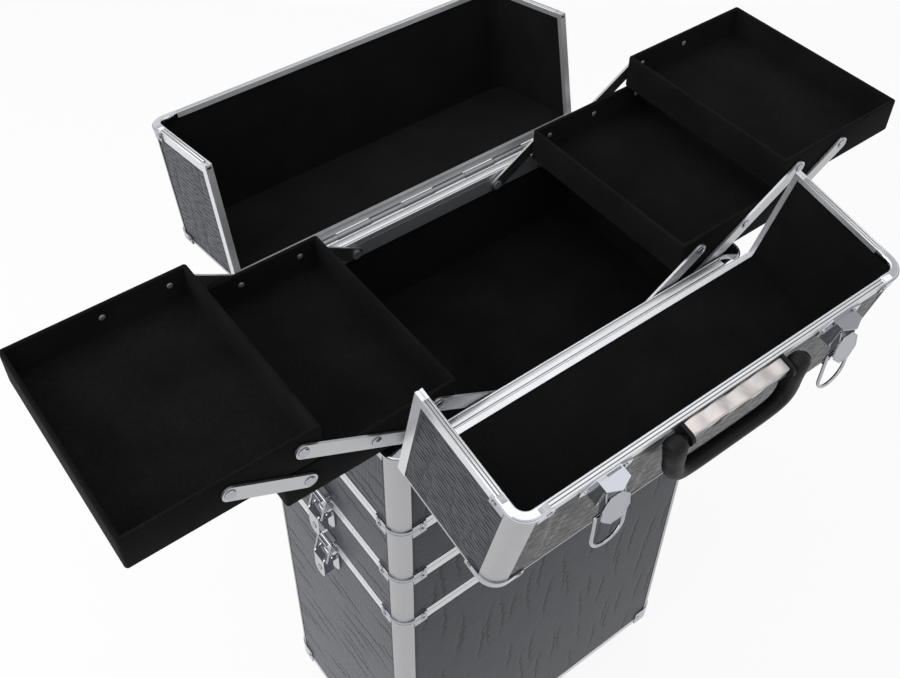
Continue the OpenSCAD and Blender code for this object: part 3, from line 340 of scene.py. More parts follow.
# %% Mesh helpers
def grid_quads(rows, columns, wrap_rows=False, wrap_columns=False):
    """Quads between neighbouring points of a grid; a wrapped direction joins its last to its first."""
    i = np.arange(rows if wrap_rows else rows - 1)[:, None]
    j = np.arange(columns if wrap_columns else columns - 1)[None, :]
    below, beside = (i + 1) % rows, (j + 1) % columns
    corners = (i * columns + j, below * columns + j, below * columns + beside, i * columns + beside)
    return np.stack(np.broadcast_arrays(*corners), axis=-1).reshape(-1, 4)


def join(parts):
    """Several (points, quads) pairs as one, with the later quads numbered on."""
    all_points, all_quads = zip(*parts)
    starts = np.cumsum([0] + [len(points) for points in all_points[:-1]])
    numbered = [quads + start for quads, start in zip(all_quads, starts)]
    return np.concatenate(all_points), np.concatenate(numbered)


def flat_end(count):
    """Quads that close a loop with an even number of points: strips between its two halves."""
    k = np.arange(count // 2 - 1)
    return np.stack([k, k + 1, count - 2 - k, count - 1 - k], axis=-1)


def tube(rings):
    """A grid of rings as a closed piece: quads from ring to ring, and flat ends."""
    sides = rings.reshape(-1, 3), grid_quads(*rings.shape[:2], wrap_columns=True)
    return join([sides] + [(rings[k], flat_end(rings.shape[1])) for k in (0, -1)])


def weld(mesh):
    """Merges points that lie on each other and turns all faces outward."""
    shell = bmesh.new()
    shell.from_mesh(mesh)
    bmesh.ops.remove_doubles(shell, verts=shell.verts, dist=1e-6)
    bmesh.ops.recalc_face_normals(shell, faces=shell.faces)
    shell.to_mesh(mesh)
    shell.free()


def make_piece(name, points, quads, body, slot, material, closed=True):
    """A smooth mesh object from points in millimetres; it rides on a CAD body."""
    mesh = bpy.data.meshes.new(name)
    mesh.from_pydata((points * 0.001).tolist(), [], quads.tolist())
    if closed:
        weld(mesh)
    mesh.validate()
    mesh.polygons.foreach_set("use_smooth", np.ones(len(mesh.polygons), bool))
    mesh.materials.append(material)
    piece = bpy.data.objects.new(name, mesh)
    bpy.context.scene.collection.objects.link(piece)
    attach(piece, body)
    return piece


LIDS = ("front_lid", "rear_lid")


def open_lid(points, rear=False):
    """Turns points of the closed front lid about its hinge; the rear lid is the mirror image."""
    y, z = points[..., 1] + HINGE_Y, points[..., 2] - Z_RIM
    turned = np.stack([
        points[..., 0],
        y * math.cos(LID_OPEN) - z * math.sin(LID_OPEN) - HINGE_Y,
        y * math.sin(LID_OPEN) + z * math.cos(LID_OPEN) + Z_RIM,
    ], axis=-1)
    return turned * np.array([1, -1, 1]) if rear else turned


print("a 3 x 4 grid has", len(grid_quads(3, 4)), "quads")

# %% [markdown]
# ## Crocodile skins
# The embossing is deep enough to see from the side, so each board gets a thin sheet that fills the 1 mm recess of
# the frame. Crocodile skin has two forms. Creases: cracks across the board, about 15 mm apart, that waver and come
# and go; their shade is painted dark into the colour. Wrinkles: fine rounded waves along the board, broken by the
# creases, with painted shade in their valleys. On the boxes the board is pressed flatter than on the lids.

# %% The embossed height
CREASE_GAP, CREASE_W, WRINKLE = 15.0, 1.2, 4.4


def cell_number(i, j, seed):
    """A repeatable number from 0 to 1 for each whole-number cell: the fraction of a large sine."""
    wave = np.sin(i * 127.1 + j * 311.7 + seed * 74.7) * 43758.5453
    return wave - np.floor(wave)


def embossing(u, v, seed, relief):
    """Height in mm, and painted shade from 0 to 1 for the creases and wrinkle valleys, at u along the wrinkles and
    v across them. The creases each follow a line of u that wavers with v; their depth falls off with the distance
    from that line and swells and fades along it. The wrinkles are a cosine in v that drifts with u and starts
    afresh in each field between two creases."""
    crease_depth_and_shade, field = np.zeros(u.shape), np.floor(u / CREASE_GAP) - 2
    for step in (-1, 0, 1):
        i = np.floor(u / CREASE_GAP) + step
        place, lean, jag, life = (cell_number(i, j, seed) for j in range(4))
        line = CREASE_GAP * (i + 0.5 + 0.8 * (place - 0.5)) + 3 * np.sin(v / 21 + 6.3 * lean)
        line += 0.8 * np.sin(v / 3.1 + 20 * jag) + 0.5 * np.sin(v / 1.7 + 30 * jag)
        shown = np.clip(0.3 + 0.9 * np.sin(v / (15 + 12 * life) + 40 * life), 0, 1)
        crease_depth_and_shade = np.maximum(crease_depth_and_shade, shown * np.exp(-np.abs(u - line) / CREASE_W))
        field += u > line
    tilt = 0.3 * (cell_number(field, 5, seed) - 0.5) * (u - CREASE_GAP * field)
    drift = tilt + 0.5 * np.sin(u / 6 + v / 11 + seed) + 0.3 * np.sin(u / 2.3 - v / 5)
    wave = np.cos(2 * math.pi * ((v + drift) / WRINKLE + cell_number(field, 9, seed)))
    broken = 0.75 + 0.25 * np.sin(u / 3 + 5 * np.sin(v / 5 + seed))
    valley = (0.5 + 0.5 * wave) ** 2 * broken * relief
    height = 0.85 - 0.6 * crease_depth_and_shade - 0.55 * valley * (1 - crease_depth_and_shade)
    # Painted shade: the creases and wrinkle valleys go out as how dark the material paints them.
    return height, np.maximum(crease_depth_and_shade, valley)


sample = np.arange(60.0)
test_height = embossing(*np.meshgrid(sample, sample), 1, 1.0)[0]
print("height", test_height.min().round(2), "to", test_height.max().round(2), "mm")

# %% [markdown]
# A sheet is a flat grid with its own two directions on the board and the direction outward. The height runs down
# to the board at the sheet's border, so no open edge shows. Its UV map is in metres, and the depth of the creases
# and wrinkle valleys is an attribute, which the material paints as shade. The rear lid is a mirror image, so its
# faces are turned round. The deepest relief is that of the lids' tops, which have the glossier laminate painted
# darker.

# %% One embossed sheet
BOX_RELIEF, LID_RELIEF, TOP_RELIEF = 0.3, 1.0, 1.5
# Grid steps, widths over which the border runs down, and the border's own height.
GRID_U, GRID_V, FADE_U, FADE_V, BORDER_UP = 1.3, 0.95, 3.0, 1.7, 0.1


def embossed_sheet(name, corner, along, across, length, width, body, seed, relief):
    """A sheet from a corner on the board's face; along and across are unit vectors in it."""
    rows, columns = int(width / GRID_V) + 1, int(length / GRID_U) + 1
    u, v = np.meshgrid(np.linspace(0, length, columns), np.linspace(0, width, rows))
    height, crease_depth_and_shade = embossing(u + 400 * seed, v + 300 * seed, seed, relief)
    border = np.minimum(np.minimum(u, length - u) / FADE_U, np.minimum(v, width - v) / FADE_V)
    height = BORDER_UP + (height - BORDER_UP) * np.clip(border, 0, 1)
    along, across = np.array(along, float), np.array(across, float)
    points = np.array(corner) + u[..., None] * along + v[..., None] * across
    points += height[..., None] * np.cross(along, across)
    if body != "case":
        points = open_lid(points, body == "rear_lid")
    quads = grid_quads(rows, columns)[:, ::1 if body == "rear_lid" else -1]
    skin = top_skin if relief == TOP_RELIEF else box_skin
    piece = make_piece(name, points.reshape(-1, 3), quads, body, "crocodile_panel", skin, closed=False)
    # Painted shade: this attribute darkens the creases and wrinkle valleys in the material.
    depth = piece.data.attributes.new("crease_depth_and_shade", "FLOAT", "POINT")
    depth.data.foreach_set("value", crease_depth_and_shade.ravel().astype(np.float32))
    uv = piece.data.uv_layers.new(name="skin_metres")
    vertex = np.empty(len(piece.data.loops), np.int32)
    piece.data.loops.foreach_get("vertex_index", vertex)
    uv.uv.foreach_set("vector", (np.stack([u, v], -1).reshape(-1, 2) * 0.001)[vertex].ravel())
    return len(quads)


FACE_X, FACE_Y = HALF_L - RECESS, HALF_W - RECESS
END_X, END_Y = HALF_L - POST_R, HALF_W - POST_R
print("boards' outer faces at", FACE_X, "and", FACE_Y, "mm")

# %% [markdown]
# Each box shows four boards between its lower edging and its upper rim. A sheet starts at a
# corner of its board, and its first direction is the one that the wrinkles follow: lengthwise on
# the front and the rear, upright on the two ends.

# %% Skins on the boxes
LEVELS = {
    "trunk": (Z_BASE + RIM_H, Z_BOX1 - RIM_H),
    "middle_box_1": (Z_BOX1 + BOX_SEAM + LOW_FLANGE, Z_BOX2 - RIM_H),
    "middle_box_2": (Z_BOX2 + BOX_SEAM + LOW_FLANGE, Z_CASE - RIM_H),
    "top_case": (Z_CASE + BOX_SEAM + LOW_FLANGE, Z_RIM - RIM_H),
}
LEFTWARD, RIGHTWARD, REARWARD, FORWARD, UPWARD = (-1, 0, 0), (1, 0, 0), (0, 1, 0), (0, -1, 0), (0, 0, 1)
count = 0
for number, (level, (low, high)) in enumerate(LEVELS.items()):
    tall, long, deep = high - low, 2 * END_X, 2 * END_Y
    sheets = {
        "front": ((-END_X, -FACE_Y, low), RIGHTWARD, UPWARD, long, tall),
        "rear": ((END_X, FACE_Y, low), LEFTWARD, UPWARD, long, tall),
        "left": ((-FACE_X, -END_Y, low), UPWARD, REARWARD, tall, deep),
        "right": ((FACE_X, END_Y, low), UPWARD, FORWARD, tall, deep),
    }
    for turn, (side, sheet) in enumerate(sheets.items()):
        seed = 1 + number + len(LEVELS) * turn
        count += embossed_sheet(f"{level}_{side}_skin", *sheet, "case", seed, BOX_RELIEF)
print("skins on the boxes:", count, "quads")

# %% [markdown]
# A half lid has skins on its top, its outer wall and its two ends. They are computed on the
# closed lid and then opened with it.

# %% Skins on the half lids
POST_GAP = 0.3
LID_IN, LID_OUT = -RIM_H - LID_SEAM, -HALF_W + TRIM
LID_LOW, LID_HIGH = Z_RIM + RIM_H, Z_LID - POST_R - POST_GAP
deep, tall, wide = LID_IN - LID_OUT, LID_HIGH - LID_LOW, 2 * (HALF_L - TRIM)
sheets = {
    "top": ((-END_X, LID_OUT, Z_LID - RECESS), RIGHTWARD, REARWARD, 2 * END_X, deep),
    "outer": ((-wide / 2, -FACE_Y, LID_LOW), RIGHTWARD, UPWARD, wide, tall),
    "left": ((-FACE_X, LID_OUT, LID_LOW), UPWARD, REARWARD, tall, deep),
    "right": ((FACE_X, LID_IN, LID_LOW), UPWARD, FORWARD, tall, deep),
}
count = 0
for first_seed, lid in zip((20, 25), LIDS):
    for seed, (side, sheet) in enumerate(sheets.items(), first_seed):
        relief = TOP_RELIEF if side == "top" else LID_RELIEF
        count += embossed_sheet(f"{lid}_{side}_skin", *sheet, lid, seed, relief)
print("skins on the lids:", count, "quads")

# %% [markdown]
# ## Trays
# A real tray is thin board wrapped in flock, so its corners and edges are soft. The CAD tray is
# a plain box with square edges and stays for the motion. The piece that stands for it is a
# profile carried round a rounded rectangle: down the outer wall, round the rim, and down the
# inner wall to the floor. Each profile point says how far inside the tray's outline it lies.

# %% Profile round a rectangle
QUADRANTS = [[1, 1], [-1, 1], [-1, -1], [1, -1]]


def rounded_loop(half_x, half_y, radius, steps=5):
    """Points round a rectangle with quarter-circle corners, and the same for each inset."""
    turn = (np.arange(4)[:, None] * 90 + np.linspace(0, 90, steps)[None, :]).ravel()
    sign = np.repeat(QUADRANTS, steps, axis=0)
    turn = np.radians(turn)
    x = sign[:, 0] * (half_x - radius)[:, None] + radius[:, None] * np.cos(turn)
    y = sign[:, 1] * (half_y - radius)[:, None] + radius[:, None] * np.sin(turn)
    return x, y


TRAY_HALF_Y, TRAY_WALL, TRAY_FLOOR, TRAY_CORNER, TRAY_EDGE = 94.0, 3.5, 3.0, 2.5, 1.3
# Bevel at the underside, fillet at the floor, inset of the closing rings, least corner radius.
HEEL, FOOT, CLOSED_AT, SHARPEST = 0.6, 1.5, 60.0, 0.4


def tray_shell(low, high):
    """Closed tray between two corners: each profile row is (inset, height) round the outline. It
    starts and ends at CLOSED_AT, near the middle of the underside and of the floor."""
    tall, rim = high[2] - low[2], TRAY_WALL / 2
    arc = np.radians(np.linspace(0, 180, 9))
    inset = np.concatenate([
        [CLOSED_AT, rim, HEEL, 0], rim - rim * np.cos(arc),
        [TRAY_WALL, TRAY_WALL + FOOT, TRAY_WALL + CLOSED_AT / 2, CLOSED_AT],
    ])
    height = np.concatenate([
        [0, 0, 0, TRAY_EDGE], tall - TRAY_EDGE + TRAY_EDGE * np.sin(arc),
        [TRAY_FLOOR + FOOT, TRAY_FLOOR, TRAY_FLOOR, TRAY_FLOOR],
    ])
    half, middle = (high[:2] - low[:2]) / 2, (high[:2] + low[:2]) / 2
    radius = np.clip(TRAY_CORNER - inset, SHARPEST, None)
    x, y = rounded_loop(half[0] - inset, half[1] - inset, radius)
    z = np.broadcast_to((low[2] + height)[:, None], x.shape)
    return tube(np.stack([middle[0] + x, middle[1] + y, z], axis=-1))


print("a rounded outline has", rounded_loop(*np.ones((3, 1)))[0].size, "points")

# %% [markdown]
# The CAD tray's box gives the place and the height of each tray. Its pivot rivets stand out to
# the front and the rear and belong to that box, so the tray's own width is set here.

# %% Trays in place of the CAD boxes
for tray in ("lower_tray_left", "upper_tray_left", "lower_tray_right", "upper_tray_right"):
    low, high = (np.array(corner) * 1000 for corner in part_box(tray))
    low[1], high[1] = -TRAY_HALF_Y, TRAY_HALF_Y
    piece = make_piece(f"{tray}_flocked", *tray_shell(low, high), tray, "flocked_tray", tray_flock)
    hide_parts(tray)
print("trays", (high - low).round(1).tolist(), "mm")

# %% [markdown]
# ## Rivets
# A rivet is a profile turned round an axis. The tray pivots are rivets with a shank, a spacer
# and a domed head outside, and a small head on the tray's inner wall. Corner caps are held by
# domed rivets.

# %% A turned profile, repeated
def turned(radius, height, sides=16):
    """Points of a profile of (radius, height) turned round the Z axis."""
    angle = np.linspace(0, 2 * math.pi, sides, endpoint=False)
    radius, height = np.array(radius, float)[:, None], np.array(height, float)[:, None]
    ring = np.stack(np.broadcast_arrays(radius * np.cos(angle), radius * np.sin(angle), height), axis=-1)
    return ring.reshape(-1, 3), grid_quads(len(radius), sides, wrap_columns=True)


def stood_on(shape, spots, directions):
    """Copies of a shape about Z, with its axis turned to each direction and moved to each spot."""
    points, quads = shape
    axis = np.array(directions, float)
    side = np.cross(axis, np.where(np.abs(axis[:, :1]) > 0.9, [[0.0, 0.0, 1.0]], [[1.0, 0.0, 0.0]]))
    side /= np.linalg.norm(side, axis=1, keepdims=True)
    turn = np.stack([side, np.cross(axis, side), axis], axis=1)
    placed = np.einsum("pk,nkc->npc", points, turn) + np.array(spots, float)[:, None, :]
    numbers = quads[None] + (np.arange(len(placed)) * len(points))[:, None, None]
    return placed.reshape(-1, 3), numbers.reshape(-1, 4)


dome_angle = np.radians(np.linspace(0, 90, 5))
print("a rivet of 16 sides has", len(turned([1, 1, 0], [0, 1, 1])[1]), "quads")

# %% [markdown]
# The lower tray has three pivots in a row on its front and on its rear, and the upper tray two.
# They are one pitch apart, and the tray's own joint gives the place of the row.

# %% Tray pivots
SPACER, REACH, PIN_R, HEAD_R, HEAD_EDGE, HEAD_UP = 0.7, 2.8, 2.5, 4.2, 0.15, 0.85
INNER_R, INNER_UP, SUNK, PITCH = 2.6, 0.8, 0.2, 54.0
shank_end = SPACER + REACH
outer = turned(
    np.concatenate([[0, HEAD_R, HEAD_R, PIN_R, PIN_R, HEAD_R], HEAD_R * np.cos(dome_angle) ** 0.8]),
    np.concatenate([[-SUNK, -SUNK, SPACER, SPACER, shank_end, shank_end],
                    shank_end + HEAD_EDGE + HEAD_UP * np.sin(dome_angle)]),
)
inner = turned(np.concatenate([[0, INNER_R], INNER_R * np.cos(dome_angle)]),
               np.concatenate([[-SUNK, -SUNK], INNER_UP * np.sin(dome_angle)]))
for side in ("left", "right"):
    middle = np.array(joints[f"lower_tray_{side}_hinge"]["pos_m"]) * 1000
    upper = np.array(joints[f"upper_tray_{side}_hinge"]["pos_m"]) * 1000
    outward = math.copysign(1.0, middle[0])
    rows = {f"lower_tray_{side}": (middle, (-1, 0, 1)), f"upper_tray_{side}": (upper, (0, 1))}
    for tray, (pivot, steps) in rows.items():
        spots = np.array([
            [pivot[0] + outward * PITCH * step, y, pivot[2]] for step in steps for y in (-1, 1)
        ])
        facing = spots[:, 1:2] * np.array([[0.0, 1.0, 0.0]])
        outside = stood_on(outer, spots * [1, TRAY_HALF_Y, 1], facing)
        inside = stood_on(inner, spots * [1, TRAY_HALF_Y - TRAY_WALL, 1], -facing)
        make_piece(f"{tray}_rivets", *outside, tray, "chrome", chrome)
        make_piece(f"{tray}_rivet_ends", *inside, tray, "dark_steel", dark_zinc)
    print(side, "pivots at", middle.round(1).tolist(), upper.round(1).tolist())

# %% [markdown]
# A cap on the case has two ears, one on each side of its post, with a rivet in each. Caps sit at
# the rims, at the lower edgings and at the base.

# %% Domed rivets on the corner caps
CAP_T, CAP_EAR, RIVET_R, BASE_RIVET_UP = 1.2, 13.0, 2.0, 10.0
DOME_R, DOME_UP, DOME_EDGE = 2.1, 0.9, 0.2
dome = turned(np.concatenate([[0, DOME_R], DOME_R * np.cos(dome_angle)]),
              np.concatenate([[0, 0], DOME_EDGE + DOME_UP * np.sin(dome_angle)]), sides=14)
ear_at = POST_R + CAP_EAR - 2 * RIVET_R
heights = [z - RIM_H / 2 for z in (Z_BOX1, Z_BOX2, Z_CASE, Z_RIM)] + [Z_BASE + BASE_RIVET_UP]
heights += [z + BOX_SEAM + LOW_FLANGE / 2 for z in (Z_BOX1, Z_BOX2, Z_CASE)]
spots, directions = [], []
for sx in (-1, 1):
    for sy in (-1, 1):
        for z in heights:
            spots += [(sx * (HALF_L + CAP_T), sy * (HALF_W - ear_at), z),
                      (sx * (HALF_L - ear_at), sy * (HALF_W + CAP_T), z)]
            directions += [(sx, 0, 0), (0, sy, 0)]
make_piece("case_cap_rivets", *stood_on(dome, spots, directions), "case", "chrome", chrome)
print(len(spots), "rivets on the case's caps")

# %% [markdown]
# A lid's caps fold over its top corners, at the seam and at the outer wall. Each has a rivet on
# the lid's end and one on its top.

# %% Domed rivets on the lids' caps
LID_CAP = 6.0
spots, directions = [], []
for sx in (-1, 1):
    for y in (-LID_SEAM - RECESS - RIM_H / 2, -HALF_W + LID_CAP / 2):
        spots += [(sx * (HALF_L + CAP_T), y, Z_LID - ear_at), (sx * (HALF_L - ear_at), y, Z_LID + CAP_T)]
        directions += [(sx, 0, 0), (0, 0, 1)]
points, quads = stood_on(dome, spots, directions)
for lid in LIDS:
    make_piece(f"{lid}_cap_rivets", open_lid(points, lid == "rear_lid"), quads, lid, "chrome", brassy)
print(len(spots), "rivets on each lid")

# %% [markdown]
# Each side latch has a small lock in its lever. Its barrel has a yellowish plate and a dark
# keyhole, so the ring and the hole are one turned piece with two materials.

# %% Lock barrels on the side levers
LOCK_R, HOLE_R, LEVER_FACE, LOCK_DROP, LOCK_UP = 3.2, 1.1, 14.8, 30.0, 0.8
CHAMFER_IN, CHAMFER_UP, HOLE_FLOOR = 0.4, 0.3, 0.3
barrel = turned([LOCK_R, LOCK_R, LOCK_R - CHAMFER_IN, HOLE_R, HOLE_R, 0],
                [0, LOCK_UP - CHAMFER_UP, LOCK_UP, LOCK_UP, HOLE_FLOOR, HOLE_FLOOR])
for side, sx in (("left", -1), ("right", 1)):
    for level, z in enumerate((Z_BOX1, Z_BOX2, Z_CASE), 1):
        spot = [(sx * (HALF_L + LEVER_FACE), 0, z - LOCK_DROP)]
        lever = f"side_lever_{side}_{level}"
        piece = make_piece(f"{lever}_lock", *stood_on(barrel, spot, [(sx, 0, 0)]), lever, "chrome", brassy)
        piece.data.materials.append(dark_zinc)
        middles = np.empty(3 * len(piece.data.polygons))
        piece.data.polygons.foreach_get("center", middles)
        offset = middles.reshape(-1, 3)[:, 1:] - np.array(spot[0])[1:] * 0.001
        inside = np.hypot(*offset.T) < HOLE_R * 0.001
        piece.data.polygons.foreach_set("material_index", inside.astype(np.int32))
print("6 lock barrels")

# %% [markdown]
# ## Pressed corner covers on the rims
# Where a rim turns a corner, a pressed chrome cover hides the cut ends of the profile. Its
# section is a shallow arch over the rim's top, carried round the corner's arc and a little way
# along both straight parts.

# %% Corner covers
def corner_cover(width, reach=10.0, over=0.35, lift=0.45, drop=4.4):
    """A closed section over a rim (inset from its outer face, height over its top), carried along
    one side, round the arc and along the other. The arc's centre is the origin."""
    half = np.array([-over, -over, 0.0, 0.6, 1.6])
    rise = np.array([-1.2, -0.2, lift - 0.2, lift - 0.05, lift])
    inset = np.concatenate([half, width - half[:0:-1], [width + over, width - 0.3, width - 0.5, 0.4]])
    height = np.concatenate([rise, rise[:0:-1], [-drop, -drop, -1.0, -1.2]])
    turn = np.concatenate([[0.0], np.radians(np.linspace(0, 90, 10)), [math.pi / 2]])
    shift = np.zeros((len(turn), 2))
    shift[0, 1], shift[-1, 0] = -reach, -reach
    radius = POST_R - inset
    first = shift[:, :1] + radius * np.cos(turn)[:, None]
    second = shift[:, 1:] + radius * np.sin(turn)[:, None]
    points = np.stack(np.broadcast_arrays(first, second, height), axis=-1)
    return tube(points)


case_cover, case_quads = corner_cover(RIM_W)
lid_cover, lid_quads = corner_cover(LID_RIM_W)
covers = []
for sx in (-1, 1):
    for sy in (-1, 1):
        place = np.array([sx, sy, 1]) * (case_cover + [END_X, END_Y, 0]) + [0, 0, Z_RIM]
        covers.append((place, case_quads))
make_piece("case_rim_covers", *join(covers), "case", "chrome", brighter_chrome)
covers = []
for sx in (-1, 1):
    across, along, height = lid_cover.T
    place = [sx * (END_X + across), height - LID_SEAM, Z_LID - POST_R + along]
    covers.append((np.stack(place, axis=-1), lid_quads))
points, quads = join(covers)
for lid in LIDS:
    make_piece(f"{lid}_rim_covers", open_lid(points, lid == "rear_lid"), quads, lid, "chrome", brighter_chrome)
print("covers over", RIM_W, "and", LID_RIM_W, "mm rims")

# %% [markdown]
# ## Ridged rims
# The extruded rim has a rounded bead along each edge and a shallow channel beside it. The bead draws a bright line
# in the light; the channel's dark line is painted shade, darkened through an attribute. The section across the rim
# is carried along the rim's path; its two directions are outward in the path's plane and up from the rim's face.

# %% Section and paths of the rims
ARC_STEPS = 10


def carried(path, outward, inset, height):
    """Grid of points: at each path point the section's insets go inward and its heights up."""
    flat = path[:, None, :] - inset[None, :, None] * outward[:, None, :]
    return np.concatenate([flat, np.broadcast_to(height[:, None], (*flat.shape[:2], 1))], axis=-1)


def corner_turns(first, last, corners):
    """Outward directions round quarter circles, with each corner's two ends and steps between."""
    turn = np.radians(np.linspace(first, last, ARC_STEPS * corners).reshape(corners, ARC_STEPS))
    return np.stack([np.cos(turn), np.sin(turn)], axis=-1).reshape(-1, 2)


def ridged_section(width):
    """Insets, heights and the painted shade of the grooves, from one edge of a rim to the other."""
    inset = np.array([0.05, 0.15, 0.4, 0.8, 1.2, 1.4, 1.5, 2.0, 2.1])
    height = np.array([-0.2, 0.1, 0.24, 0.28, 0.18, 0.06, 0.03, 0.03, 0.1])
    # Painted shade: 1 where the grooves are darkened.
    groove = np.array([0, 0, 0, 0, 0, 0.3, 1, 1, 0])
    both = np.concatenate([inset, width - inset[::-1]])
    return both, np.concatenate([height, height[::-1]]), np.concatenate([groove, groove[::-1]])


def make_rim(name, rings, groove, body, all_round):
    """A piece from a grid of sections, closed all round or at its ends, with the painted shade of its grooves as
    an attribute."""
    if all_round:
        points = rings.reshape(-1, 3)
        quads = grid_quads(*rings.shape[:2], wrap_rows=True, wrap_columns=True)
    else:
        points, quads = tube(rings)
    piece = make_piece(name, points, quads, body, "bright_aluminium", bright, closed=False)
    # Painted shade: the attribute darkens the grooves' tint in the metal.
    depth = piece.data.attributes.new("groove", "FLOAT", "POINT")
    depth.data.foreach_set("value", np.resize(groove, len(points)).astype(np.float32))
    weld(piece.data)
    return len(quads)


print("section of", len(ridged_section(RIM_W)[0]), "points")

# %% [markdown]
# On a lid the path goes up one end, along the top and down the other end. On the top case it goes
# all the way round.

# %% Ridges on the rims
inset, height, groove = ridged_section(LID_RIM_W)
outward = np.concatenate([[[-1.0, 0.0]], corner_turns(180, 0, 2), [[1.0, 0.0]]])
path = np.sign(outward[:, :1]) * [END_X, 0] + [0, Z_LID - POST_R] + POST_R * outward
path[[0, -1], 1] = Z_RIM + RIM_H
grid = carried(path, outward, inset, height - LID_SEAM)[..., [0, 2, 1]]
for lid in LIDS:
    count = make_rim(f"{lid}_rim_ridges", open_lid(grid, lid == "rear_lid"), groove, lid, False)

inset, height, groove = ridged_section(RIM_W)
outward = corner_turns(0, 360, 4)
quarter = np.repeat(QUADRANTS, ARC_STEPS, axis=0)
path = quarter * [END_X, END_Y] + POST_R * outward
make_rim("case_rim_ridges", carried(path, outward, inset, height + Z_RIM), groove, "case", True)
print("ridges of", count, "quads on each lid's rim")

# %% [markdown]
# The eight-sided plates of the top latches have a fine rolled border. It is a half round carried
# round the plate's outline in the lever's own flat position, and then turned and moved like the
# lever.

# %% Rolled borders of the latch plates
PLATE_W, PLATE_TOP, PLATE_FAR, TILT = 24.0, 4.4, 18.5, math.radians(20)
PIVOT_Y, PIVOT_UP = 9.0, 6.0
ROLL_IN, ROLL_HALF_W, ROLL_UP, ROLL_SUNK = 0.8, 0.6, 0.25, 0.02
corner_turn = np.radians(22.5 + 45 * np.arange(8))
outward = np.stack([np.cos(corner_turn), np.sin(corner_turn)], axis=-1)
outline = outward * (PLATE_W / 2 - ROLL_IN) / math.cos(math.pi / 8)
half_turn = np.radians(np.linspace(0, 180, 7))
ring = carried(outline, outward, ROLL_HALF_W * np.cos(half_turn), ROLL_UP * np.sin(half_turn) - ROLL_SUNK)
ring = ring + [0, -PLATE_FAR, PLATE_TOP]
quads = grid_quads(*ring.shape[:2], wrap_rows=True, wrap_columns=True)
for side in ("left", "right"):
    lever = f"top_latch_lever_{side}"
    at_x = joints[f"{lever}_hinge"]["pos_m"][0] * 1000
    points = np.stack([
        at_x + ring[..., 0],
        ring[..., 1] * math.cos(TILT) + ring[..., 2] * math.sin(TILT) - PIVOT_Y,
        ring[..., 2] * math.cos(TILT) - ring[..., 1] * math.sin(TILT) + Z_LID + PIVOT_UP,
    ], axis=-1)
    make_piece(f"{lever}_border", open_lid(points.reshape(-1, 3)), quads, lever, "chrome", chrome)
print("borders round", PLATE_W, "mm plates")

# %% [markdown]
# ## Handle base in its film
# The block under the carry handle is still wrapped in clear film. It is a rounded box whose
# faces swell and sink in long soft folds, with one deep slit along its outer face. The box is a
# rounded section carried along X; the folds are a few sine waves of different lengths.

# %% Wrapped handle base
PLATE_L, PLATE_IN, PLATE_OUT, PLATE_H = 92.0, 3.0, 14.0, 12.0
SLIT_X, SLIT_Y, SLIT_HALF_L, SLIT_HALF_W, SLIT_FADE, SLIT_DEEP = 3.0, 0.5, 24.0, 1.6, 5.0, 2.2
EDGE_R, RINGS, EDGE_STEPS = 1.4, 97, 16
x = np.linspace(-PLATE_L / 2, PLATE_L / 2, RINGS)
half_s, half_h = (PLATE_OUT - PLATE_IN) / 2, PLATE_H / 2
rings = rounded_loop(np.array([half_s]), np.array([half_h]), np.array([EDGE_R]), EDGE_STEPS)
loop_s, loop_h = rings[0][0], rings[1][0]
fold = (0.22 * np.sin(x[:, None] / 7 + loop_s / 4) * np.sin(loop_h / 5 + x[:, None] / 19)
        + 0.16 * np.sin(x[:, None] / 3.3 + 1.3 * loop_s) + 0.12 * np.sin(x[:, None] / 11 - loop_h))
pinch = 1 - 0.08 * (np.abs(x) / (PLATE_L / 2))[:, None] ** 8
slit = np.clip(1 - np.abs(loop_s - SLIT_Y) / SLIT_HALF_W, 0, 1) * (loop_h > half_h - 0.2)
slit = slit * np.clip((SLIT_HALF_L - np.abs(x - SLIT_X)) / SLIT_FADE, 0, 1)[:, None]
size = pinch * (1 + fold / half_s - 0.04)
points = np.stack([
    np.broadcast_to(x[:, None], size.shape),
    -(PLATE_IN + PLATE_OUT) / 2 + loop_s * size,
    Z_LID + half_h + loop_h * size - SLIT_DEEP * slit,
], axis=-1)
wrapped, quads = tube(points)
piece = make_piece("handle_base_in_film", open_lid(wrapped), quads, "front_lid", "silver_plate", film)
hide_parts("handle_plate")
print("film over a", PLATE_L, "mm base")

# %% [markdown]
# ## Carry grip
# The grip is one moulded loop. Its legs are broad from the pivots to the lower corners and run
# into a slimmer bar that fits the hand. It is an oval section carried along a squarish half loop;
# the oval's two half widths change along the way, and it closes to a dome over each pivot.

# %% Moulded carry grip
pivot = np.array(joints["carry_grip_hinge"]["pos_m"]) * 1000
LEG_X, DROP, RISE, SQUARENESS = 56.5, 38.0, 7.0, 2 / 5.5
# Half widths of the oval in the loop's plane and out of it: the bar's, then more at leg and pivot.
BAR_IN, LEG_IN, BOSS_IN = 5.0, 2.4, 1.0
BAR_OUT, LEG_OUT, BOSS_OUT = 5.6, 1.0, 0.9
BOSS_DROP, BOSS_ASIDE, OVAL = 16.0, 1.6, 0.8
phi = np.linspace(0, math.pi, 81)
path_x = LEG_X * np.sign(np.cos(phi)) * np.abs(np.cos(phi)) ** SQUARENESS
path_z = -DROP * np.sin(phi) ** SQUARENESS
over_pivot = RISE * np.array([1, 0.9, 0.6, 0.1])
path_x = np.concatenate([[LEG_X] * 4, path_x[1:-1], [-LEG_X] * 4])
path_z = np.concatenate([over_pivot, path_z[1:-1], over_pivot[::-1]])
step_x, step_z = np.gradient(path_x), np.gradient(path_z)
length = np.hypot(step_x, step_z)
normal_x, normal_z = step_z / length, -step_x / length
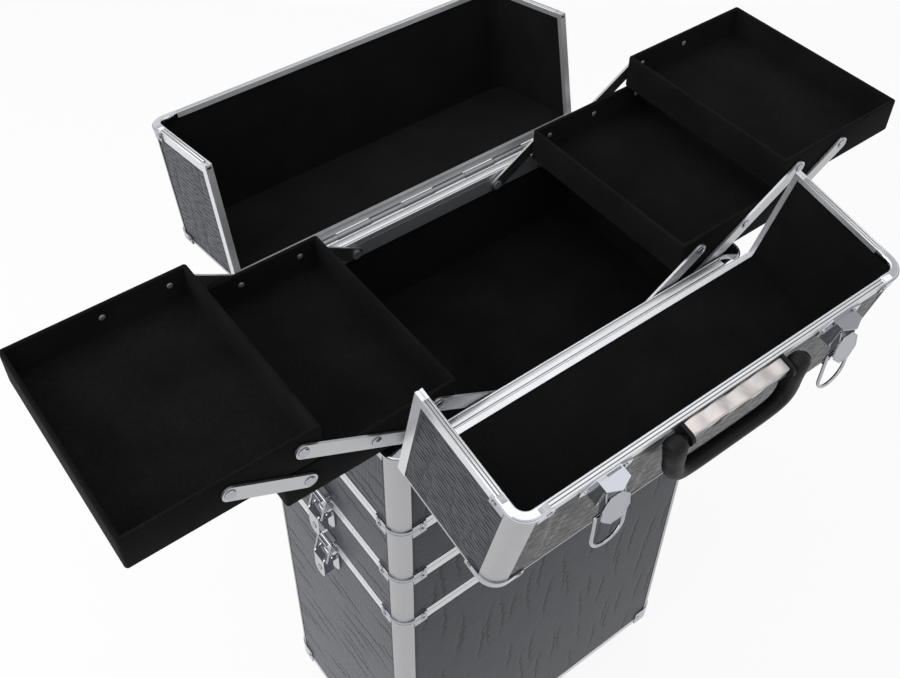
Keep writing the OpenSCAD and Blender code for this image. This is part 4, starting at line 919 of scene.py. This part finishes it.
boss = np.clip(1 + path_z / BOSS_DROP, 0, 1)
path_x = path_x + np.sign(path_x) * BOSS_ASIDE * boss
leg = np.clip(np.abs(path_x) / LEG_X, 0, 1) ** 6
end = np.sqrt(np.clip(1 - (np.clip(path_z, 0, None) / RISE) ** 2, 0.002, 1))
in_plane = (BAR_IN + LEG_IN * leg + BOSS_IN * boss) * end
out_plane = (BAR_OUT + LEG_OUT * leg + BOSS_OUT * boss) * end
round_angle = np.linspace(0, 2 * math.pi, 24, endpoint=False)
oval_in, oval_out = (
    np.sign(wave) * np.abs(wave) ** OVAL for wave in (np.cos(round_angle), np.sin(round_angle))
)
points = np.stack([
    path_x[:, None] + (normal_x * in_plane)[:, None] * oval_in,
    np.broadcast_to(pivot[1], (len(path_x), 1)) + out_plane[:, None] * oval_out,
    pivot[2] + path_z[:, None] + (normal_z * in_plane)[:, None] * oval_in,
], axis=-1)
grip, quads = tube(points)
piece = make_piece("carry_grip_moulded", grip, quads, "carry_grip", "black_plastic", black_plastic)
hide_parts("carry_grip")
cad_size = [round(1000 * (high - low), 1) for low, high in zip(*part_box("carry_grip"))]
print("grip", np.ptp(grip, axis=0).round(1).tolist(), "mm, CAD", cad_size)

# %% [markdown]
# ## Stage and light
# The photograph is a product shot on white. The floor and the world are white to the camera and
# to mirror-like surfaces, and give only plain soft light to everything else. What mirrors see of
# the world darkens upward like a studio's ceiling, so that metal has lighter and darker bands.

# %% White floor and world
def seen_rays(tree):
    """1 for rays from the camera, a mirror or glass, else 0."""
    rays = add(tree, "ShaderNodeLightPath")
    camera_or_mirror = add(tree, "ShaderNodeMath", {
        0: rays.outputs["Is Camera Ray"], 1: rays.outputs["Is Glossy Ray"]}, operation="MAXIMUM")
    return add(tree, "ShaderNodeMath", {
        0: camera_or_mirror.outputs["Value"], 1: rays.outputs["Is Transmission Ray"]}, operation="MAXIMUM")


SOFT_LIGHT, CEILING_FROM, CEILING_TO, CEILING_WHITE = 0.4, 0.25, 0.95, 0.6
world = bpy.data.worlds.new("white_studio")
bpy.context.scene.world = world
world.use_nodes = True
sky = world.node_tree
soft = add(sky, "ShaderNodeBackground", {"Color": (1, 1, 1, 1), "Strength": SOFT_LIGHT})
direction = add(sky, "ShaderNodeTexCoord").outputs["Generated"]
upward = add(sky, "ShaderNodeSeparateXYZ", {"Vector": direction})
ceiling = add(sky, "ShaderNodeMapRange", {
    "Value": upward.outputs["Z"], "From Min": CEILING_FROM, "From Max": CEILING_TO,
    "To Min": 1.0, "To Max": CEILING_WHITE,
})
white = add(sky, "ShaderNodeBackground", {"Color": (1, 1, 1, 1), "Strength": ceiling.outputs["Result"]})
shown = add(sky, "ShaderNodeMixShader", {
    "Fac": seen_rays(sky).outputs["Value"], 1: soft.outputs["Background"], 2: white.outputs["Background"],
})
sky.links.new(shown.outputs["Shader"], sky.nodes["World Output"].inputs["Surface"])

FLOOR_HALF, FLOOR_GLOW = 6.0, 0.9
floor_mesh = bpy.data.meshes.new("studio_floor")
corners = [(FLOOR_HALF * x, FLOOR_HALF * y, 0) for x, y in ((-1, -1), (1, -1), (1, 1), (-1, 1))]
floor_mesh.from_pydata(corners, [], [(0, 1, 2, 3)])
floor = bpy.data.objects.new("studio_floor", floor_mesh)
bpy.context.scene.collection.objects.link(floor)
pale, pale_tree, pale_shader = start_material("pale_floor", Base_Color=colour("#f4f4f4"), Roughness=0.9)
lit = add(pale_tree, "ShaderNodeEmission", {"Color": (1, 1, 1, 1), "Strength": 1.0})
share = add(pale_tree, "ShaderNodeMath", {
    0: seen_rays(pale_tree).outputs["Value"], 1: FLOOR_GLOW,
}, operation="MULTIPLY")
mixed = add(pale_tree, "ShaderNodeMixShader", {
    "Fac": share.outputs["Value"], 1: pale_shader.outputs["BSDF"], 2: lit.outputs["Emission"],
})
pale_tree.links.new(mixed.outputs["Shader"], pale_tree.nodes["Material Output"].inputs["Surface"])
floor_mesh.materials.append(pale)
print("floor", floor.dimensions[:])

# %% [markdown]
# A large lamp on the left and one overhead draw the light and dark sides of the case, as window
# and ceiling light do. A weak one in front lifts the shadows. Large lamps keep pale metal from
# burning out.

# %% Lamps
AIM = (0, 0, 0.5)


def soft_lamp(name, place, size, watts):
    """A square lamp that faces the middle of the case."""
    lamp = bpy.data.lights.new(name, "AREA")
    lamp.shape, lamp.size, lamp.energy = "SQUARE", size, watts
    holder = bpy.data.objects.new(name, lamp)
    away = np.array(place, float) - np.array(AIM, float)
    away /= np.linalg.norm(away)
    side = np.cross([0.0, 1.0, 0.0], away)
    side /= np.linalg.norm(side)
    turn = np.eye(4)
    turn[:3, 0], turn[:3, 1], turn[:3, 2], turn[:3, 3] = side, np.cross(away, side), away, place
    holder.matrix_world = turn.T.tolist()
    bpy.context.scene.collection.objects.link(holder)


soft_lamp("left_softbox", (-2.0, 0.3, 1.35), 2.6, 48)
soft_lamp("top_softbox", (0.1, -0.1, 2.6), 2.6, 23)
soft_lamp("front_softbox", (0.6, -2.3, 1.0), 1.4, 2.5)
bpy.context.scene.view_settings.view_transform = "Standard"
print("three lamps")
